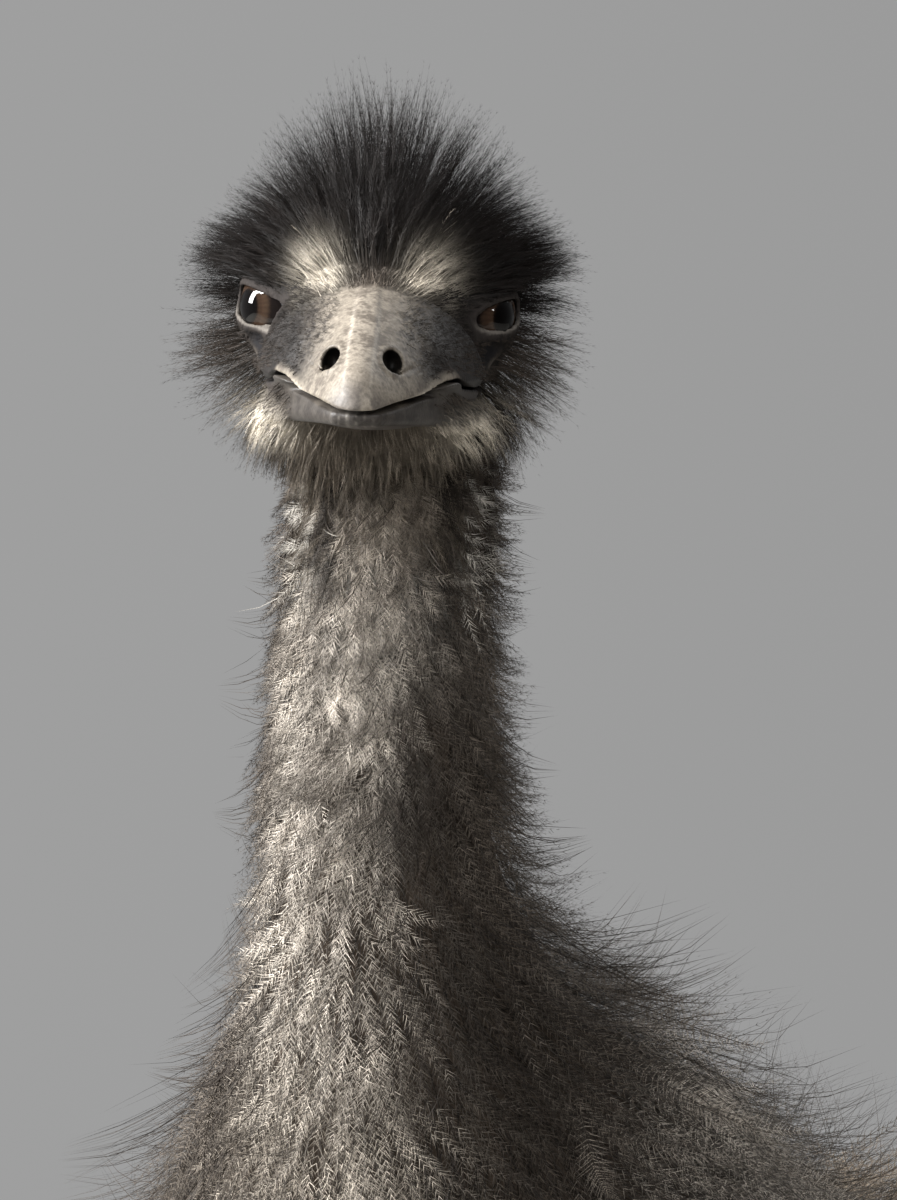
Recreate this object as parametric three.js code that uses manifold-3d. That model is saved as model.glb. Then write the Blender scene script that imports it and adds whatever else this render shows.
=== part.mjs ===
// A life-size emu, standing, with its neck drawn into an S and its head turned to its left.
// Millimetres, +Z up. The bird faces -Y and its left side is +X. The origin is on the floor, under
// the middle of the whole bird. Each solid reaches out to the tips of the plumage that covers it.
import * as THREE from "three";
import { mergeVertices } from "three/addons/utils/BufferGeometryUtils.js";
import Module from "manifold-3d";

const wasm = await Module();
wasm.setup();

// Driving dimensions of the bird. Heights are from the floor, and "ahead" is ahead of the hip line.
const EYE = { left: 42, ahead: 560, height: 1395 }; // middle of the eyes, with the neck drawn in
const HEAD_TURN = { left: 18.6, down: 4, roll: 2.4 }; // degrees
const CROWN_TIP = 75; // above the eyes, at the tips of the crown plumage
const BROW_HALF_WIDTH = 61;
const EYEBALL = 17; // radius
const HALF_BETWEEN_EYES = 26; // middle plane to the middle of an eyeball
const BILL_TIP_AHEAD = 103; // ahead of the eyes
const GAPE_BELOW = 19; // the line of the mouth, below the eyes
const MOUTH_GAP = 1.4;
const BILL_RIDGE = 1.7; // how sharply the upper bill rises to its ridge
const NOSTRIL = { out: 10, behindTip: 31, above: 12.2 }; // above the line of the mouth
const TRUNK_HALF_WIDTH = 212; // over the plumage
const FOOT_OUT = 96; // each foot's distance from the middle plane
const FOOT_STEP = 26; // the left foot stands this far ahead of the feet's mean, the right one behind
const FEET_AHEAD = -6; // the feet's mean
const KNEE = { out: 88, ahead: 108, height: 806 };
const SHIN = 430; // knee to ankle
const TARSUS = 352; // ankle to foot joint
const FOOT_JOINT = 46;
const MIDDLE_TOE = 138;
const SIDE_TOE = 100;
const TOE_SPLAY = 34; // degrees between the middle toe and each side toe
const CLAW = 30; // a middle claw, beyond its toe
const WING = { length: 250, depth: 84, slope: 25, ahead: 92, height: 905, stands: 7 };
const MIDDLE_OF_BIRD = 79; // the whole bird's middle
const JOINT_GAP = 0.4; // thin cut between neighbouring solids

const LEFT = 1;
const RIGHT = -1;
const SIDEWAYS = new THREE.Vector3(1, 0, 0);
const radians = THREE.MathUtils.degToRad;

function finish(color, roughness) {
  return new THREE.MeshStandardMaterial({ color, roughness, metalness: 0 });
}

const horn = finish(0x8d8781, 0.5);
const crownPlumage = finish(0x2a2420, 0.85);
const neckPlumage = finish(0x6f675f, 0.9);
const bodyPlumage = finish(0x5b5046, 0.9);
const wetEye = finish(0x3a2116, 0.1);
const scalyLeg = finish(0x5e574f, 0.7);
const clawHorn = finish(0x2b2725, 0.45);

// A closed geometry as a solid that can be joined and cut.
function solidOf(geometry) {
  const bare = geometry.clone();
  bare.deleteAttribute("normal");
  bare.deleteAttribute("uv");
  const merged = mergeVertices(bare, 1e-4);
  return new wasm.Manifold(
    new wasm.Mesh({
      numProp: 3,
      vertProperties: merged.attributes.position.array,
      triVerts: new Uint32Array(merged.index.array),
    }),
  );
}

// A solid back as a geometry for a mesh.
function geometryOf(solid) {
  const mesh = solid.getMesh();
  return new THREE.BufferGeometry()
    .setAttribute("position", new THREE.BufferAttribute(new Float32Array(mesh.vertProperties), 3))
    .setIndex(new THREE.BufferAttribute(new Uint32Array(mesh.triVerts), 1));
}

// Rises from 0 to 1 as a round end does, over the first share of the way.
function dome(way, share) {
  return way >= share ? 1 : Math.sqrt(Math.max(0, 1 - (1 - way / share) ** 2));
}

// A round-ended body carried along a smooth spine. Each station gives a middle point and how far the
// section reaches to the sides, above (up on a level spine, backwards on an upright one) and below.
// Stations run from front to back, or from top to bottom. The ends close over caps, as shares of the
// way, relief adds millimetres by the way along and the angle round, grow swells the whole, and a
// ridge over 1 draws the upper side up to a crest.
function bodyAlong(stations, { sides, rings, caps = [0.1, 0.1], relief = () => 0, grow = 0, ridge = 1 }) {
  const spine = new THREE.CatmullRomCurve3(stations.map((s) => new THREE.Vector3(...s.at)));
  const reach = new THREE.CatmullRomCurve3(
    stations.map((s) => new THREE.Vector3(s.wide, s.above, s.below)),
  );
  const geometry = new THREE.SphereGeometry(1, sides, rings);
  const position = geometry.attributes.position;
  const point = new THREE.Vector3();
  for (let i = 0; i < position.count; i++) {
    point.fromBufferAttribute(position, i);
    const way = Math.acos(THREE.MathUtils.clamp(point.y, -1, 1)) / Math.PI;
    const angle = Math.atan2(-point.z, point.x);
    const along = spine.getTangent(way);
    const across = SIDEWAYS.clone().addScaledVector(along, -SIDEWAYS.dot(along)).normalize();
    const above = new THREE.Vector3().crossVectors(across, along);
    const { x: wide, y: high, z: low } = reach.getPoint(way);
    const ends = dome(way, caps[0]) * dome(1 - way, caps[1]);
    const extra = relief(way, angle) + grow;
    const rise = Math.sin(angle);
    const lift = rise > 0 ? (high + extra) * rise ** ridge : (low + extra) * rise;
    const middle = spine.getPoint(way);
    if (way < 1e-6) middle.addScaledVector(along, -grow);
    if (way > 1 - 1e-6) middle.addScaledVector(along, grow);
    middle
      .addScaledVector(across, (wide + extra) * ends * Math.cos(angle))
      .addScaledVector(above, lift * ends);
    position.setXYZ(i, middle.x, middle.y, middle.z);
  }
  return solidOf(geometry);
}

// Soft clumps in the outline, where the plumage gathers into locks, larger where it is longer.
function locks(height, round, along) {
  return (way, angle) =>
    height * way * Math.sin(round * angle + 2.1 * Math.sin(along * way)) * Math.sin(along * way);
}

// A ball of three radii.
function ball([x, y, z], at, across, high) {
  const geometry = new THREE.SphereGeometry(1, across, high);
  geometry.rotateX(Math.PI / 2);
  geometry.scale(x, y, z);
  geometry.translate(...at);
  return solidOf(geometry);
}

// A thin cut through a point parts a solid into what lies towards a direction and the rest.
function part(solid, { through, towards }) {
  const direction = new THREE.Vector3(...towards).normalize();
  const offset = direction.dot(new THREE.Vector3(...through));
  return [
    solid.trimByPlane(direction.toArray(), offset + JOINT_GAP / 2),
    solid.trimByPlane(direction.clone().negate().toArray(), JOINT_GAP / 2 - offset),
  ];
}

function named(name, solid, material) {
  const mesh = new THREE.Mesh(geometryOf(solid), material);
  mesh.name = name;
  return mesh;
}

// The head's own frame has its origin midway between the eyes, and the bill points along its -Y.
const headPlace = new THREE.Matrix4()
  .makeRotationFromEuler(
    new THREE.Euler(radians(HEAD_TURN.down), radians(HEAD_TURN.roll), radians(HEAD_TURN.left), "ZXY"),
  )
  .setPosition(EYE.left, -EYE.ahead, EYE.height);

function inHead(solid) {
  return solid.transform(headPlace.elements);
}

// Both halves of the bill taper to the tip, and a thin gap is left along the mouth.
function upperBill(grow = 0) {
  const level = -GAPE_BELOW + MOUTH_GAP;
  const tip = -BILL_TIP_AHEAD;
  return bodyAlong(
    [
      { at: [0, tip, level - 1.5], wide: 4, above: 2.5, below: 2 },
      { at: [0, tip + 9, level], wide: 10, above: 9, below: 1.5 },
      { at: [0, tip + 27, level + 0.8], wide: 18, above: 16, below: 1.2 },
      { at: [0, tip + 46, level + 1.5], wide: 25, above: 23, below: 1.2 },
      { at: [0, tip + 64, level + 1.5], wide: 30.5, above: 28, below: 1.2 },
      { at: [0, tip + 84, level + 1], wide: 35, above: 33, below: 1.2 },
      { at: [0, tip + 98, level + 1], wide: 36, above: 35, below: 1.2 },
    ],
    { sides: 16, rings: 11, caps: [0.08, 0.06], grow, ridge: BILL_RIDGE },
  );
}

function nostril(side) {
  const at = [side * NOSTRIL.out, NOSTRIL.behindTip - BILL_TIP_AHEAD, NOSTRIL.above - GAPE_BELOW];
  return ball([2.9, 5.2, 4.6], at, 8, 6);
}

function lowerBill(grow = 0) {
  const level = -GAPE_BELOW - 0.9;
  const tip = -BILL_TIP_AHEAD + 4;
  return bodyAlong(
    [
      { at: [0, tip, level - 1.8], wide: 4.5, above: 1, below: 2.5 },
      { at: [0, tip + 11, level - 1], wide: 10.5, above: 0.9, below: 5.5 },
      { at: [0, tip + 30, level], wide: 18, above: 0.9, below: 9 },
      { at: [0, tip + 52, level], wide: 25.5, above: 0.9, below: 12 },
      { at: [0, tip + 78, level], wide: 33, above: 0.9, below: 15 },
      { at: [0, tip + 94, level], wide: 35, above: 0.9, below: 16 },
    ],
    { sides: 16, rings: 8, caps: [0.08, 0.06], grow },
  );
}

// Skull and bare face, wider at the mouth than between the eyes.
function face() {
  return bodyAlong(
    [
      { at: [0, -62, -17], wide: 22, above: 17, below: 11 },
      { at: [0, -40, -16], wide: 29, above: 25, below: 14 },
      { at: [0, -20, -14], wide: 34, above: 32, below: 19 },
      { at: [0, 2, -9], wide: 38, above: 35, below: 25 },
      { at: [0, 38, -4], wide: 34, above: 30, below: 30 },
    ],
    { sides: 16, rings: 9, caps: [0.12, 0.25] },
  );
}

// Plumage of crown, brows and cheeks, from the crown's tips down to the throat.
function headPlumage() {
  const brow = BROW_HALF_WIDTH;
  return bodyAlong(
    [
      { at: [-4, 12, CROWN_TIP], wide: 14, above: 16, below: 15 },
      { at: [-3, 12, CROWN_TIP - 12], wide: 28, above: 31, below: 29 },
      { at: [-1, 13, CROWN_TIP - 34], wide: 45, above: 46, below: 42 },
      { at: [0, 15, CROWN_TIP - 62], wide: brow - 3, above: 52, below: 43 },
      { at: [0, 18, CROWN_TIP - 96], wide: brow, above: 48, below: 36 },
      { at: [0, 24, CROWN_TIP - 118], wide: brow - 8, above: 40, below: 42 },
      { at: [-1, 34, CROWN_TIP - 142], wide: brow - 22, above: 34, below: 42 },
    ],
    {
      sides: 22,
      rings: 14,
      caps: [0.1, 0.12],
      relief: (way, angle) => 1.6 * Math.sin(9 * angle + 5 * way) * Math.sin(Math.PI * way),
    },
  );
}

function eyeball(side, grow = 0) {
  const radius = EYEBALL + grow;
  return ball([radius, radius, radius], [side * HALF_BETWEEN_EYES, 0, 0], 10, 8);
}

// One smooth body of neck, trunk and drooping rump. The spine comes down the neck, turns back over
// the breast and falls away behind.
function torso(grow = 0) {
  const fromEye = (left, back, down) => [EYE.left + left, back - EYE.ahead, EYE.height - down];
  const half = TRUNK_HALF_WIDTH;
  return bodyAlong(
    [
      { at: fromEye(-6, 34, 34), wide: 35, above: 34, below: 33 },
      { at: fromEye(-12, 40, 86), wide: 38, above: 37, below: 38 },
      { at: fromEye(-17, 47, 136), wide: 43, above: 42, below: 43 },
      { at: fromEye(-22, 62, 184), wide: 51, above: 49, below: 54 },
      { at: fromEye(-26, 94, 236), wide: 72, above: 62, below: 74 },
      { at: fromEye(-29, 150, 296), wide: 118, above: 80, below: 106 },
      { at: [7, -336, 1012], wide: half * 0.76, above: 108, below: 156 },
      { at: [0, -236, 940], wide: half * 0.9, above: 138, below: 208 },
      { at: [0, -112, 884], wide: half * 0.98, above: 170, below: 232 },
      { at: [0, 18, 852], wide: half, above: 198, below: 222 },
      { at: [0, 150, 828], wide: half * 0.96, above: 199, below: 196 },
      { at: [0, 276, 788], wide: half * 0.83, above: 174, below: 164 },
      { at: [0, 376, 726], wide: half * 0.62, above: 126, below: 122 },
      { at: [0, 432, 656], wide: half * 0.4, above: 72, below: 76 },
      { at: [0, 456, 592], wide: half * 0.18, above: 28, below: 30 },
    ],
    { sides: 24, rings: 36, caps: [0.03, 0.05], relief: locks(5, 8, 21), grow },
  );
}

// The room of the small wing: a slanting oval on the flank, open to the side.
function wingRoom(side, grow = 0) {
  const outline = new THREE.Shape().absellipse(
    -WING.ahead, WING.height, WING.length / 2 + grow, WING.depth / 2 + grow,
    0, 2 * Math.PI, false, radians(-WING.slope),
  );
  const inside = TRUNK_HALF_WIDTH - 60 - grow;
  const geometry = new THREE.ExtrudeGeometry(outline, { depth: 110, bevelEnabled: false, curveSegments: 18 });
  geometry.rotateX(Math.PI / 2);
  geometry.rotateZ(Math.PI / 2);
  geometry.translate(side === LEFT ? inside : -inside - 110, 0, 0);
  return solidOf(geometry);
}

// The ankle lies behind the line from knee to foot joint, as far as the two bones' lengths put it.
function ankleBehind(foot) {
  const knee = new THREE.Vector2(-KNEE.ahead, KNEE.height);
  const joint = new THREE.Vector2(foot.y, FOOT_JOINT);
  const span = knee.clone().sub(joint);
  const along = (TARSUS ** 2 - SHIN ** 2 + span.lengthSq()) / (2 * span.length());
  const behind = Math.sqrt(TARSUS ** 2 - along ** 2);
  const way = span.normalize();
  return joint.addScaledVector(way, along).add(new THREE.Vector2(way.y, -way.x).multiplyScalar(behind));
}

// A leg's solids down to the foot joint: feathered thigh, bare shank and scaly tarsus.
function leg(side, foot) {
  const bend = ankleBehind(foot);
  const knee = new THREE.Vector3(side * KNEE.out, -KNEE.ahead, KNEE.height);
  const ankle = new THREE.Vector3((side * (KNEE.out + FOOT_OUT)) / 2, bend.x, bend.y);
  const onShin = (share) => knee.clone().lerp(ankle, share).toArray();
  const onTarsus = (share) => ankle.clone().lerp(foot, share).toArray();
  const plumage = bodyAlong(
    [
      { at: onShin(0.02), wide: 70, above: 104, below: 90 },
      { at: onShin(0.24), wide: 76, above: 104, below: 88 },
      { at: onShin(0.46), wide: 64, above: 82, below: 68 },
      { at: onShin(0.66), wide: 42, above: 50, below: 42 },
      { at: onShin(0.84), wide: 26, above: 30, below: 27 },
    ],
    { sides: 14, rings: 9, caps: [0.12, 0.12], relief: locks(4, 6, 13) },
  );
  const bare = bodyAlong(
    [
      { at: onShin(0.66), wide: 17, above: 20, below: 19 },
      { at: onShin(0.86), wide: 16.5, above: 19, below: 19 },
      { at: onShin(0.96), wide: 21, above: 25, below: 23 },
      { at: onTarsus(0.04), wide: 22, above: 25, below: 23 },
      { at: onTarsus(0.16), wide: 15.5, above: 20, below: 17 },
      { at: onTarsus(0.5), wide: 13.5, above: 17, below: 14 },
      { at: onTarsus(0.86), wide: 15, above: 18, below: 14 },
      { at: onTarsus(0.97), wide: 20, above: 19, below: 18 },
      { at: onTarsus(1.06), wide: 20, above: 18, below: 18 },
    ],
    { sides: 10, rings: 18, caps: [0.04, 0.04] },
  );
  const [feathered] = part(plumage, { through: onShin(0.8), towards: [0, -0.3, 1] });
  const [, underHem] = part(bare, { through: onShin(0.8), towards: [0, -0.3, 1] });
  const [shank, belowAnkle] = part(underHem, { through: ankle.toArray(), towards: [0, 0.05, 1] });
  const [tarsus] = part(belowAnkle, { through: foot.toArray(), towards: [0, 0, 1] });
  return { thigh: feathered.subtract(torso(JOINT_GAP)), shank, tarsus };
}

// Places along a toe, from the foot joint out at an angle.
function alongToe(foot, degrees) {
  const out = Math.sin(radians(degrees));
  const ahead = Math.cos(radians(degrees));
  return (distance, height) => [foot.x + out * distance, foot.y - ahead * distance, height];
}

// A toe from its claw back up to the foot joint, padded beneath.
function toe(foot, { degrees, length }) {
  const at = alongToe(foot, degrees);
  return bodyAlong(
    [
      { at: at(length + 4, 9), wide: 9.5, above: 8, below: 11 },
      { at: at(length * 0.8, 12), wide: 13, above: 10.5, below: 14 },
      { at: at(length * 0.64, 12.5), wide: 12, above: 10, below: 13.5 },
      { at: at(length * 0.47, 16), wide: 14.5, above: 12, below: 17 },
      { at: at(length * 0.3, 21), wide: 14.5, above: 13, below: 19 },
      { at: at(length * 0.12, 32), wide: 17.5, above: 16, below: 19 },
      { at: at(-2, 50), wide: 19, above: 18, below: 18 },
    ],
    { sides: 8, rings: 9, caps: [0.1, 0.1] },
  );
}

function claw(foot, { degrees, length, size }) {
  const at = alongToe(foot, degrees);
  const tip = CLAW * size;
  return bodyAlong(
    [
      { at: at(length + tip, 3.4 * size), wide: 1.7 * size, above: 1.6 * size, below: 1.6 * size },
      { at: at(length + 0.66 * tip, 7.6 * size), wide: 4 * size, above: 4 * size, below: 4.2 * size },
      { at: at(length + 0.2 * tip, 9.6 * size), wide: 6.2 * size, above: 6 * size, below: 6 * size },
      { at: at(length - 0.3 * tip, 9.6 * size), wide: 6.4 * size, above: 6 * size, below: 6 * size },
    ],
    { sides: 7, rings: 4, caps: [0.2, 0.14] },
  );
}

// A foot's three toes and claws. Two upright cuts through the joint part the toes from each other,
// and a cut across each toe parts off its claw.
function footPieces(side, foot) {
  const toes = {
    middle: { degrees: 0, length: MIDDLE_TOE, size: 1 },
    outer: { degrees: side * TOE_SPLAY, length: SIDE_TOE, size: 0.84 },
    inner: { degrees: -side * TOE_SPLAY, length: SIDE_TOE, size: 0.84 },
  };
  const heel = ball([21, 26, 15], [foot.x, foot.y + 2, 12.5], 8, 6);
  const pieces = { toes: {}, claws: {} };
  let flesh = heel;
  for (const [which, digit] of Object.entries(toes)) {
    const ahead = new THREE.Vector3(...alongToe(new THREE.Vector3(), digit.degrees)(1, 0));
    const knuckle = alongToe(foot, digit.degrees)(digit.length, 0);
    const [, behindClaw] = part(toe(foot, digit), { through: knuckle, towards: ahead.toArray() });
    const [beyondToe] = part(claw(foot, digit), { through: knuckle, towards: ahead.toArray() });
    flesh = flesh.add(behindClaw);
    pieces.claws[which] = beyondToe.trimByPlane([0, 0, 1], 0.2);
  }
  flesh = flesh.trimByPlane([0, 0, -1], JOINT_GAP / 2 - FOOT_JOINT).trimByPlane([0, 0, 1], 0);
  for (const which of ["outer", "inner"]) {
    const way = Math.sign(toes[which].degrees);
    const turn = radians(TOE_SPLAY * 0.3);
    const through = [foot.x + way * 7, foot.y + 12, 0];
    [pieces.toes[which], flesh] = part(flesh, { through, towards: [way * Math.cos(turn), Math.sin(turn), 0] });
  }
  pieces.toes.middle = flesh;
  return pieces;
}

const emu = new THREE.Group();
emu.position.y = MIDDLE_OF_BIRD;

// Adds one group of solids that share a material, each under its own name.
function addAll(solids, material) {
  const group = new THREE.Group();
  for (const [name, solid] of Object.entries(solids)) group.add(named(name, solid, material));
  emu.add(group);
}

// Head plumage, face, neck, trunk and rump are joined into one body, which thin cuts then part.
const featherEdge = { through: [0, -38, 11], towards: [0, -0.84, -0.54] };
const [billTop] = part(upperBill().subtract(nostril(LEFT)).subtract(nostril(RIGHT)), featherEdge);
const [billUnder] = part(lowerBill(), featherEdge);
const [billRoom] = part(upperBill(JOINT_GAP).add(lowerBill(JOINT_GAP)), featherEdge);
const [, skull] = part(face(), featherEdge);
const eyeHollow = (side) => ball([17, 24, 13], [side * 43, -21, -1], 12, 8);
const browAndCheek = headPlumage().subtract(eyeHollow(LEFT)).subtract(eyeHollow(RIGHT));
const eyeRoom = eyeball(LEFT, JOINT_GAP).add(eyeball(RIGHT, JOINT_GAP));
const headShape = skull.add(browAndCheek).subtract(billRoom).subtract(eyeRoom);
const bird = inHead(headShape).add(torso().subtract(inHead(eyeRoom.add(billRoom))));

const cutAt = (down, back, towards) => ({
  through: [EYE.left, back - EYE.ahead, EYE.height - down],
  towards,
});
const [head, belowHead] = part(bird, cutAt(72, 38, [0, 0.12, 1]));
const [neckUpper, belowUpper] = part(belowHead, cutAt(136, 46, [0, -0.12, 1]));
const [neckMiddle, belowMiddle] = part(belowUpper, cutAt(218, 82, [0, -0.5, 1]));
const [neckLower, belowNeck] = part(belowMiddle, cutAt(316, 176, [0, -0.95, 0.8]));
const [rump, trunk] = part(belowNeck, { through: [0, 322, 780], towards: [0, 1, -0.62] });
const wing = (side) => torso(WING.stands).intersect(wingRoom(side));
const bothWingRooms = wingRoom(LEFT, JOINT_GAP).add(wingRoom(RIGHT, JOINT_GAP));

addAll({ head }, crownPlumage);
addAll({ bill_upper: inHead(billTop), bill_lower: inHead(billUnder) }, horn);
addAll({ eye_left: inHead(eyeball(LEFT)), eye_right: inHead(eyeball(RIGHT)) }, wetEye);
addAll({ neck_upper: neckUpper, neck_middle: neckMiddle, neck_lower: neckLower }, neckPlumage);
addAll({ trunk: trunk.subtract(bothWingRooms), tail: rump }, bodyPlumage);
addAll({ wing_left: wing(LEFT), wing_right: wing(RIGHT) }, bodyPlumage);

for (const [word, side] of [["left", LEFT], ["right", RIGHT]]) {
  const foot = new THREE.Vector3(side * FOOT_OUT, -FEET_AHEAD - side * FOOT_STEP, FOOT_JOINT);
  const { thigh, shank, tarsus } = leg(side, foot);
  const { toes, claws } = footPieces(side, foot);
  addAll({ [`thigh_${word}`]: thigh }, bodyPlumage);
  addAll({ [`shank_${word}`]: shank, [`tarsus_${word}`]: tarsus }, scalyLeg);
  for (const which of Object.keys(toes)) {
    addAll({ [`toe_${which}_${word}`]: toes[which] }, scalyLeg);
    addAll({ [`claw_${which}_${word}`]: claws[which] }, clawHorn);
  }
}

export default emu;
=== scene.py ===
"""A life-size emu, standing, with its neck drawn into an S and its head turned to its left.

One skin carries the whole bird. Bill, eyes and claws are pieces of their own, and the feathers are
thin vanes of shaft and barbs, rooted on the skin and reaching out to the bird's solids. Lengths in
the classes are millimetres from the hips, as the bird was measured; the meshes are in metres.
"""

import logging
import math
from collections.abc import Callable, Sequence
from dataclasses import dataclass, field
from enum import Enum

import bpy
import numpy as np
import openvdb
from mathutils import Matrix, Vector
from mathutils.bvhtree import BVHTree
from mathutils.kdtree import KDTree


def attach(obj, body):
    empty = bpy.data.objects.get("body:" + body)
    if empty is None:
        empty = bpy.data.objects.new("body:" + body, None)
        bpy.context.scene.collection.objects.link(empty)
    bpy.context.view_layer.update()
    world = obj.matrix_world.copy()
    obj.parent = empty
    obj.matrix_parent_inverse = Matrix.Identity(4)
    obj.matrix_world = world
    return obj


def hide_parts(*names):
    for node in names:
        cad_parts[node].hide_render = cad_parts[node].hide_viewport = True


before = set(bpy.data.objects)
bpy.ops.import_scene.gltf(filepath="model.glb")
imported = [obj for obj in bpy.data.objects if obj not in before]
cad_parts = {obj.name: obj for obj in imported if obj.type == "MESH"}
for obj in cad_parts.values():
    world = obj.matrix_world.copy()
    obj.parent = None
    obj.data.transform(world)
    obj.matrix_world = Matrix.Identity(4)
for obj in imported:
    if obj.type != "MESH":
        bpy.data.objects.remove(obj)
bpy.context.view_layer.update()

log = logging.getLogger("emu")
logging.basicConfig(level=logging.INFO, format="%(name)s: %(message)s")

# The bird's own measures, in millimetres and degrees
EYES_AT = np.array([42.0, -560.0, 1395.0])
HEAD_TURN_LEFT = 18.6
HEAD_TURN_DOWN = 4.0
HEAD_ROLL = 2.4
MIDDLE_OF_BIRD = 79.0
EYEBALL = 17.0
CORNEA = 10.0
CORNEA_AHEAD = 8.2
PUPIL = 5.1
IRIS = 8.6
SIGHT_OUT = 56.0
SIGHT_RISE = 0.02
HALF_BETWEEN_EYES = 26.0
CROWN_TIP = 75.0
BROW_HALF_WIDTH = 61.0
BILL_TIP_AHEAD = 103.0
GAPE_BELOW = 19.0
MOUTH_GAP = 1.3
BILL_RIDGE = 1.7
NOSTRIL_OUT = 8.7
NOSTRIL_BEHIND_TIP = 25.5
NOSTRIL_ABOVE = 11.0
NOSTRIL_HALF = (3.2, 8.0, 4.4)
NOSTRIL_LIP_HALF = (4.3, 9.0, 5.6)
TRUNK_HALF_WIDTH = 212.0
SIDE_FROM = 196.0
SIDE_MOST = 231.0
FOOT_OUT = 96.0
FOOT_STEP = 26.0
FEET_AHEAD = -6.0
KNEE_OUT = 88.0
KNEE_AHEAD = 108.0
KNEE_HEIGHT = 806.0
SHIN = 430.0
TARSUS = 352.0
FOOT_JOINT = 46.0
MIDDLE_TOE = 138.0
SIDE_TOE = 100.0
TOE_SPLAY = 34.0
CLAW = 30.0
WING_MIDDLE = np.array([-92.0, 905.0])
WING_LENGTH = 250.0
WING_DEPTH = 84.0
WING_SLOPE = 25.0

# What the whole script shares
MM = 0.001
WORD = 0xFFFFFFFF
SEED = 19
TONE = "Tone"
BAKE_MAP = "OFBake"
MAP_MARGIN = 0.02
MAP_ROOM = 0.96
SIDEWAYS = np.array([1.0, 0.0, 0.0])
DOWN = np.array([0.0, 0.0, -1.0])
BACKWARD = np.array([0.0, 1.0, 0.0])
UP = np.array([0.0, 0.0, 1.0])

Array = np.ndarray


class Side(Enum):
    """The bird's own left and right."""

    LEFT = 1
    RIGHT = -1

    @property
    def word(self) -> str:
        """The side as part of a piece's name."""
        return self.name.lower()


def linear(colour: str) -> Array:
    """Turns an sRGB colour, as six hex digits after a hash sign, into linear red, green and blue."""
    coded = np.array([int(colour[i : i + 2], 16) / 255 for i in (1, 3, 5)])
    return np.where(coded <= 0.04045, coded / 12.92, ((coded + 0.055) / 1.055) ** 2.4)


def smooth_step(low: float, high: float, value: Array) -> Array:
    """Rises smoothly from 0 at low to 1 at high."""
    share = np.clip((value - low) / (high - low), 0.0, 1.0)
    return share * share * (3 - 2 * share)


def unit(vectors: Array) -> Array:
    """Vectors at length 1 along their last axis."""
    return vectors / np.maximum(np.linalg.norm(vectors, axis=-1, keepdims=True), 1e-9)


def mix(first: Array, second: Array, share: Array | float) -> Array:
    """Blends two colours by a share for each point."""
    share = np.asarray(share)[..., None]
    return first * (1 - share) + second * share


def layered(base: str | Array, *layers: tuple[str | Array, Array | float]) -> Array:
    """Lays colours over one another, each by its share.

    Args:
        base: the lowest colour, as hex digits or linear values.
        layers: each a colour like the base and how far it covers what lies below.

    Returns:
        Linear colours.
    """
    tone = linear(base) if isinstance(base, str) else base
    for colour, share in layers:
        tone = mix(tone, linear(colour) if isinstance(colour, str) else colour, share)
    return tone


def bell(*offsets: Array) -> Array:
    """Falls off from 1 in the middle; each offset is told in widths, and one leaves about a third."""
    return np.exp(-sum(offset**2 for offset in offsets))


def turn_between(angle: Array, middle: float) -> Array:
    """How far angles lie from a middle one, in radians, whichever way round is nearer."""
    return np.abs((angle - middle + math.pi) % (2 * math.pi) - math.pi)


def lattice_value(cell: Array) -> Array:
    """A chance value from -1 to 1, always the same for the same cell of a lattice.

    Args:
        cell: whole numbers, three for each cell.

    Returns:
        One value for each cell.
    """
    code = (cell @ np.array([73856093, 19349663, 83492791])) & WORD
    code = ((code ^ (code >> 15)) * 739982445) & WORD
    code = ((code ^ (code >> 12)) * 695872825) & WORD
    return (code ^ (code >> 15)) / (WORD / 2) - 1


def mottle(points: Array, size: float, seed: float = 0.0) -> Array:
    """Uneven blotches over points in space, in two sizes.

    Args:
        points: positions in mm.
        size: width of one dark and one pale blotch together, in mm.
        seed: shifts the pattern.

    Returns:
        Values from about -1 to 1.
    """
    total = np.zeros(points.shape[:-1])
    for finer in (1, 2):
        place = points * (2 * finer / size) + 31.7 * seed + 5.3 * finer
        cell = np.floor(place).astype(np.int64)
        share = smooth_step(0.0, 1.0, place - cell)
        for corner in np.ndindex(2, 2, 2):
            weight = np.prod(np.where(corner, share, 1 - share), axis=-1)
            total += lattice_value(cell + np.array(corner)) * weight / finer
    return total


def when_quick() -> float:
    """The share of full detail for this build: always 1, a full one."""
    return 1.0


def head_matrix() -> Array:
    """The turn of the head's own frame, whose -Y runs along the bill, into the bird's.

    Returns:
        A matrix of three rows.
    """
    turn = Matrix.Rotation(math.radians(HEAD_TURN_LEFT), 3, "Z")
    nod = Matrix.Rotation(math.radians(HEAD_TURN_DOWN), 3, "X")
    roll = Matrix.Rotation(math.radians(HEAD_ROLL), 3, "Y")
    return np.array(turn @ nod @ roll)


HEAD = head_matrix()


def out_of_head(points: Array) -> Array:
    """Points of the head's frame as points of the bird's."""
    return points @ HEAD.T + EYES_AT


def into_head(points: Array) -> Array:
    """Points of the bird's frame as points of the head's."""
    return (points - EYES_AT) @ HEAD


def dome(way: Array, share: float) -> Array:
    """Rises from 0 to 1 as a round end does, over the first share of the way."""
    short = np.clip(1 - way / share, 0.0, 1.0)
    return np.sqrt(np.maximum(0.0, 1 - short**2))


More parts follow.
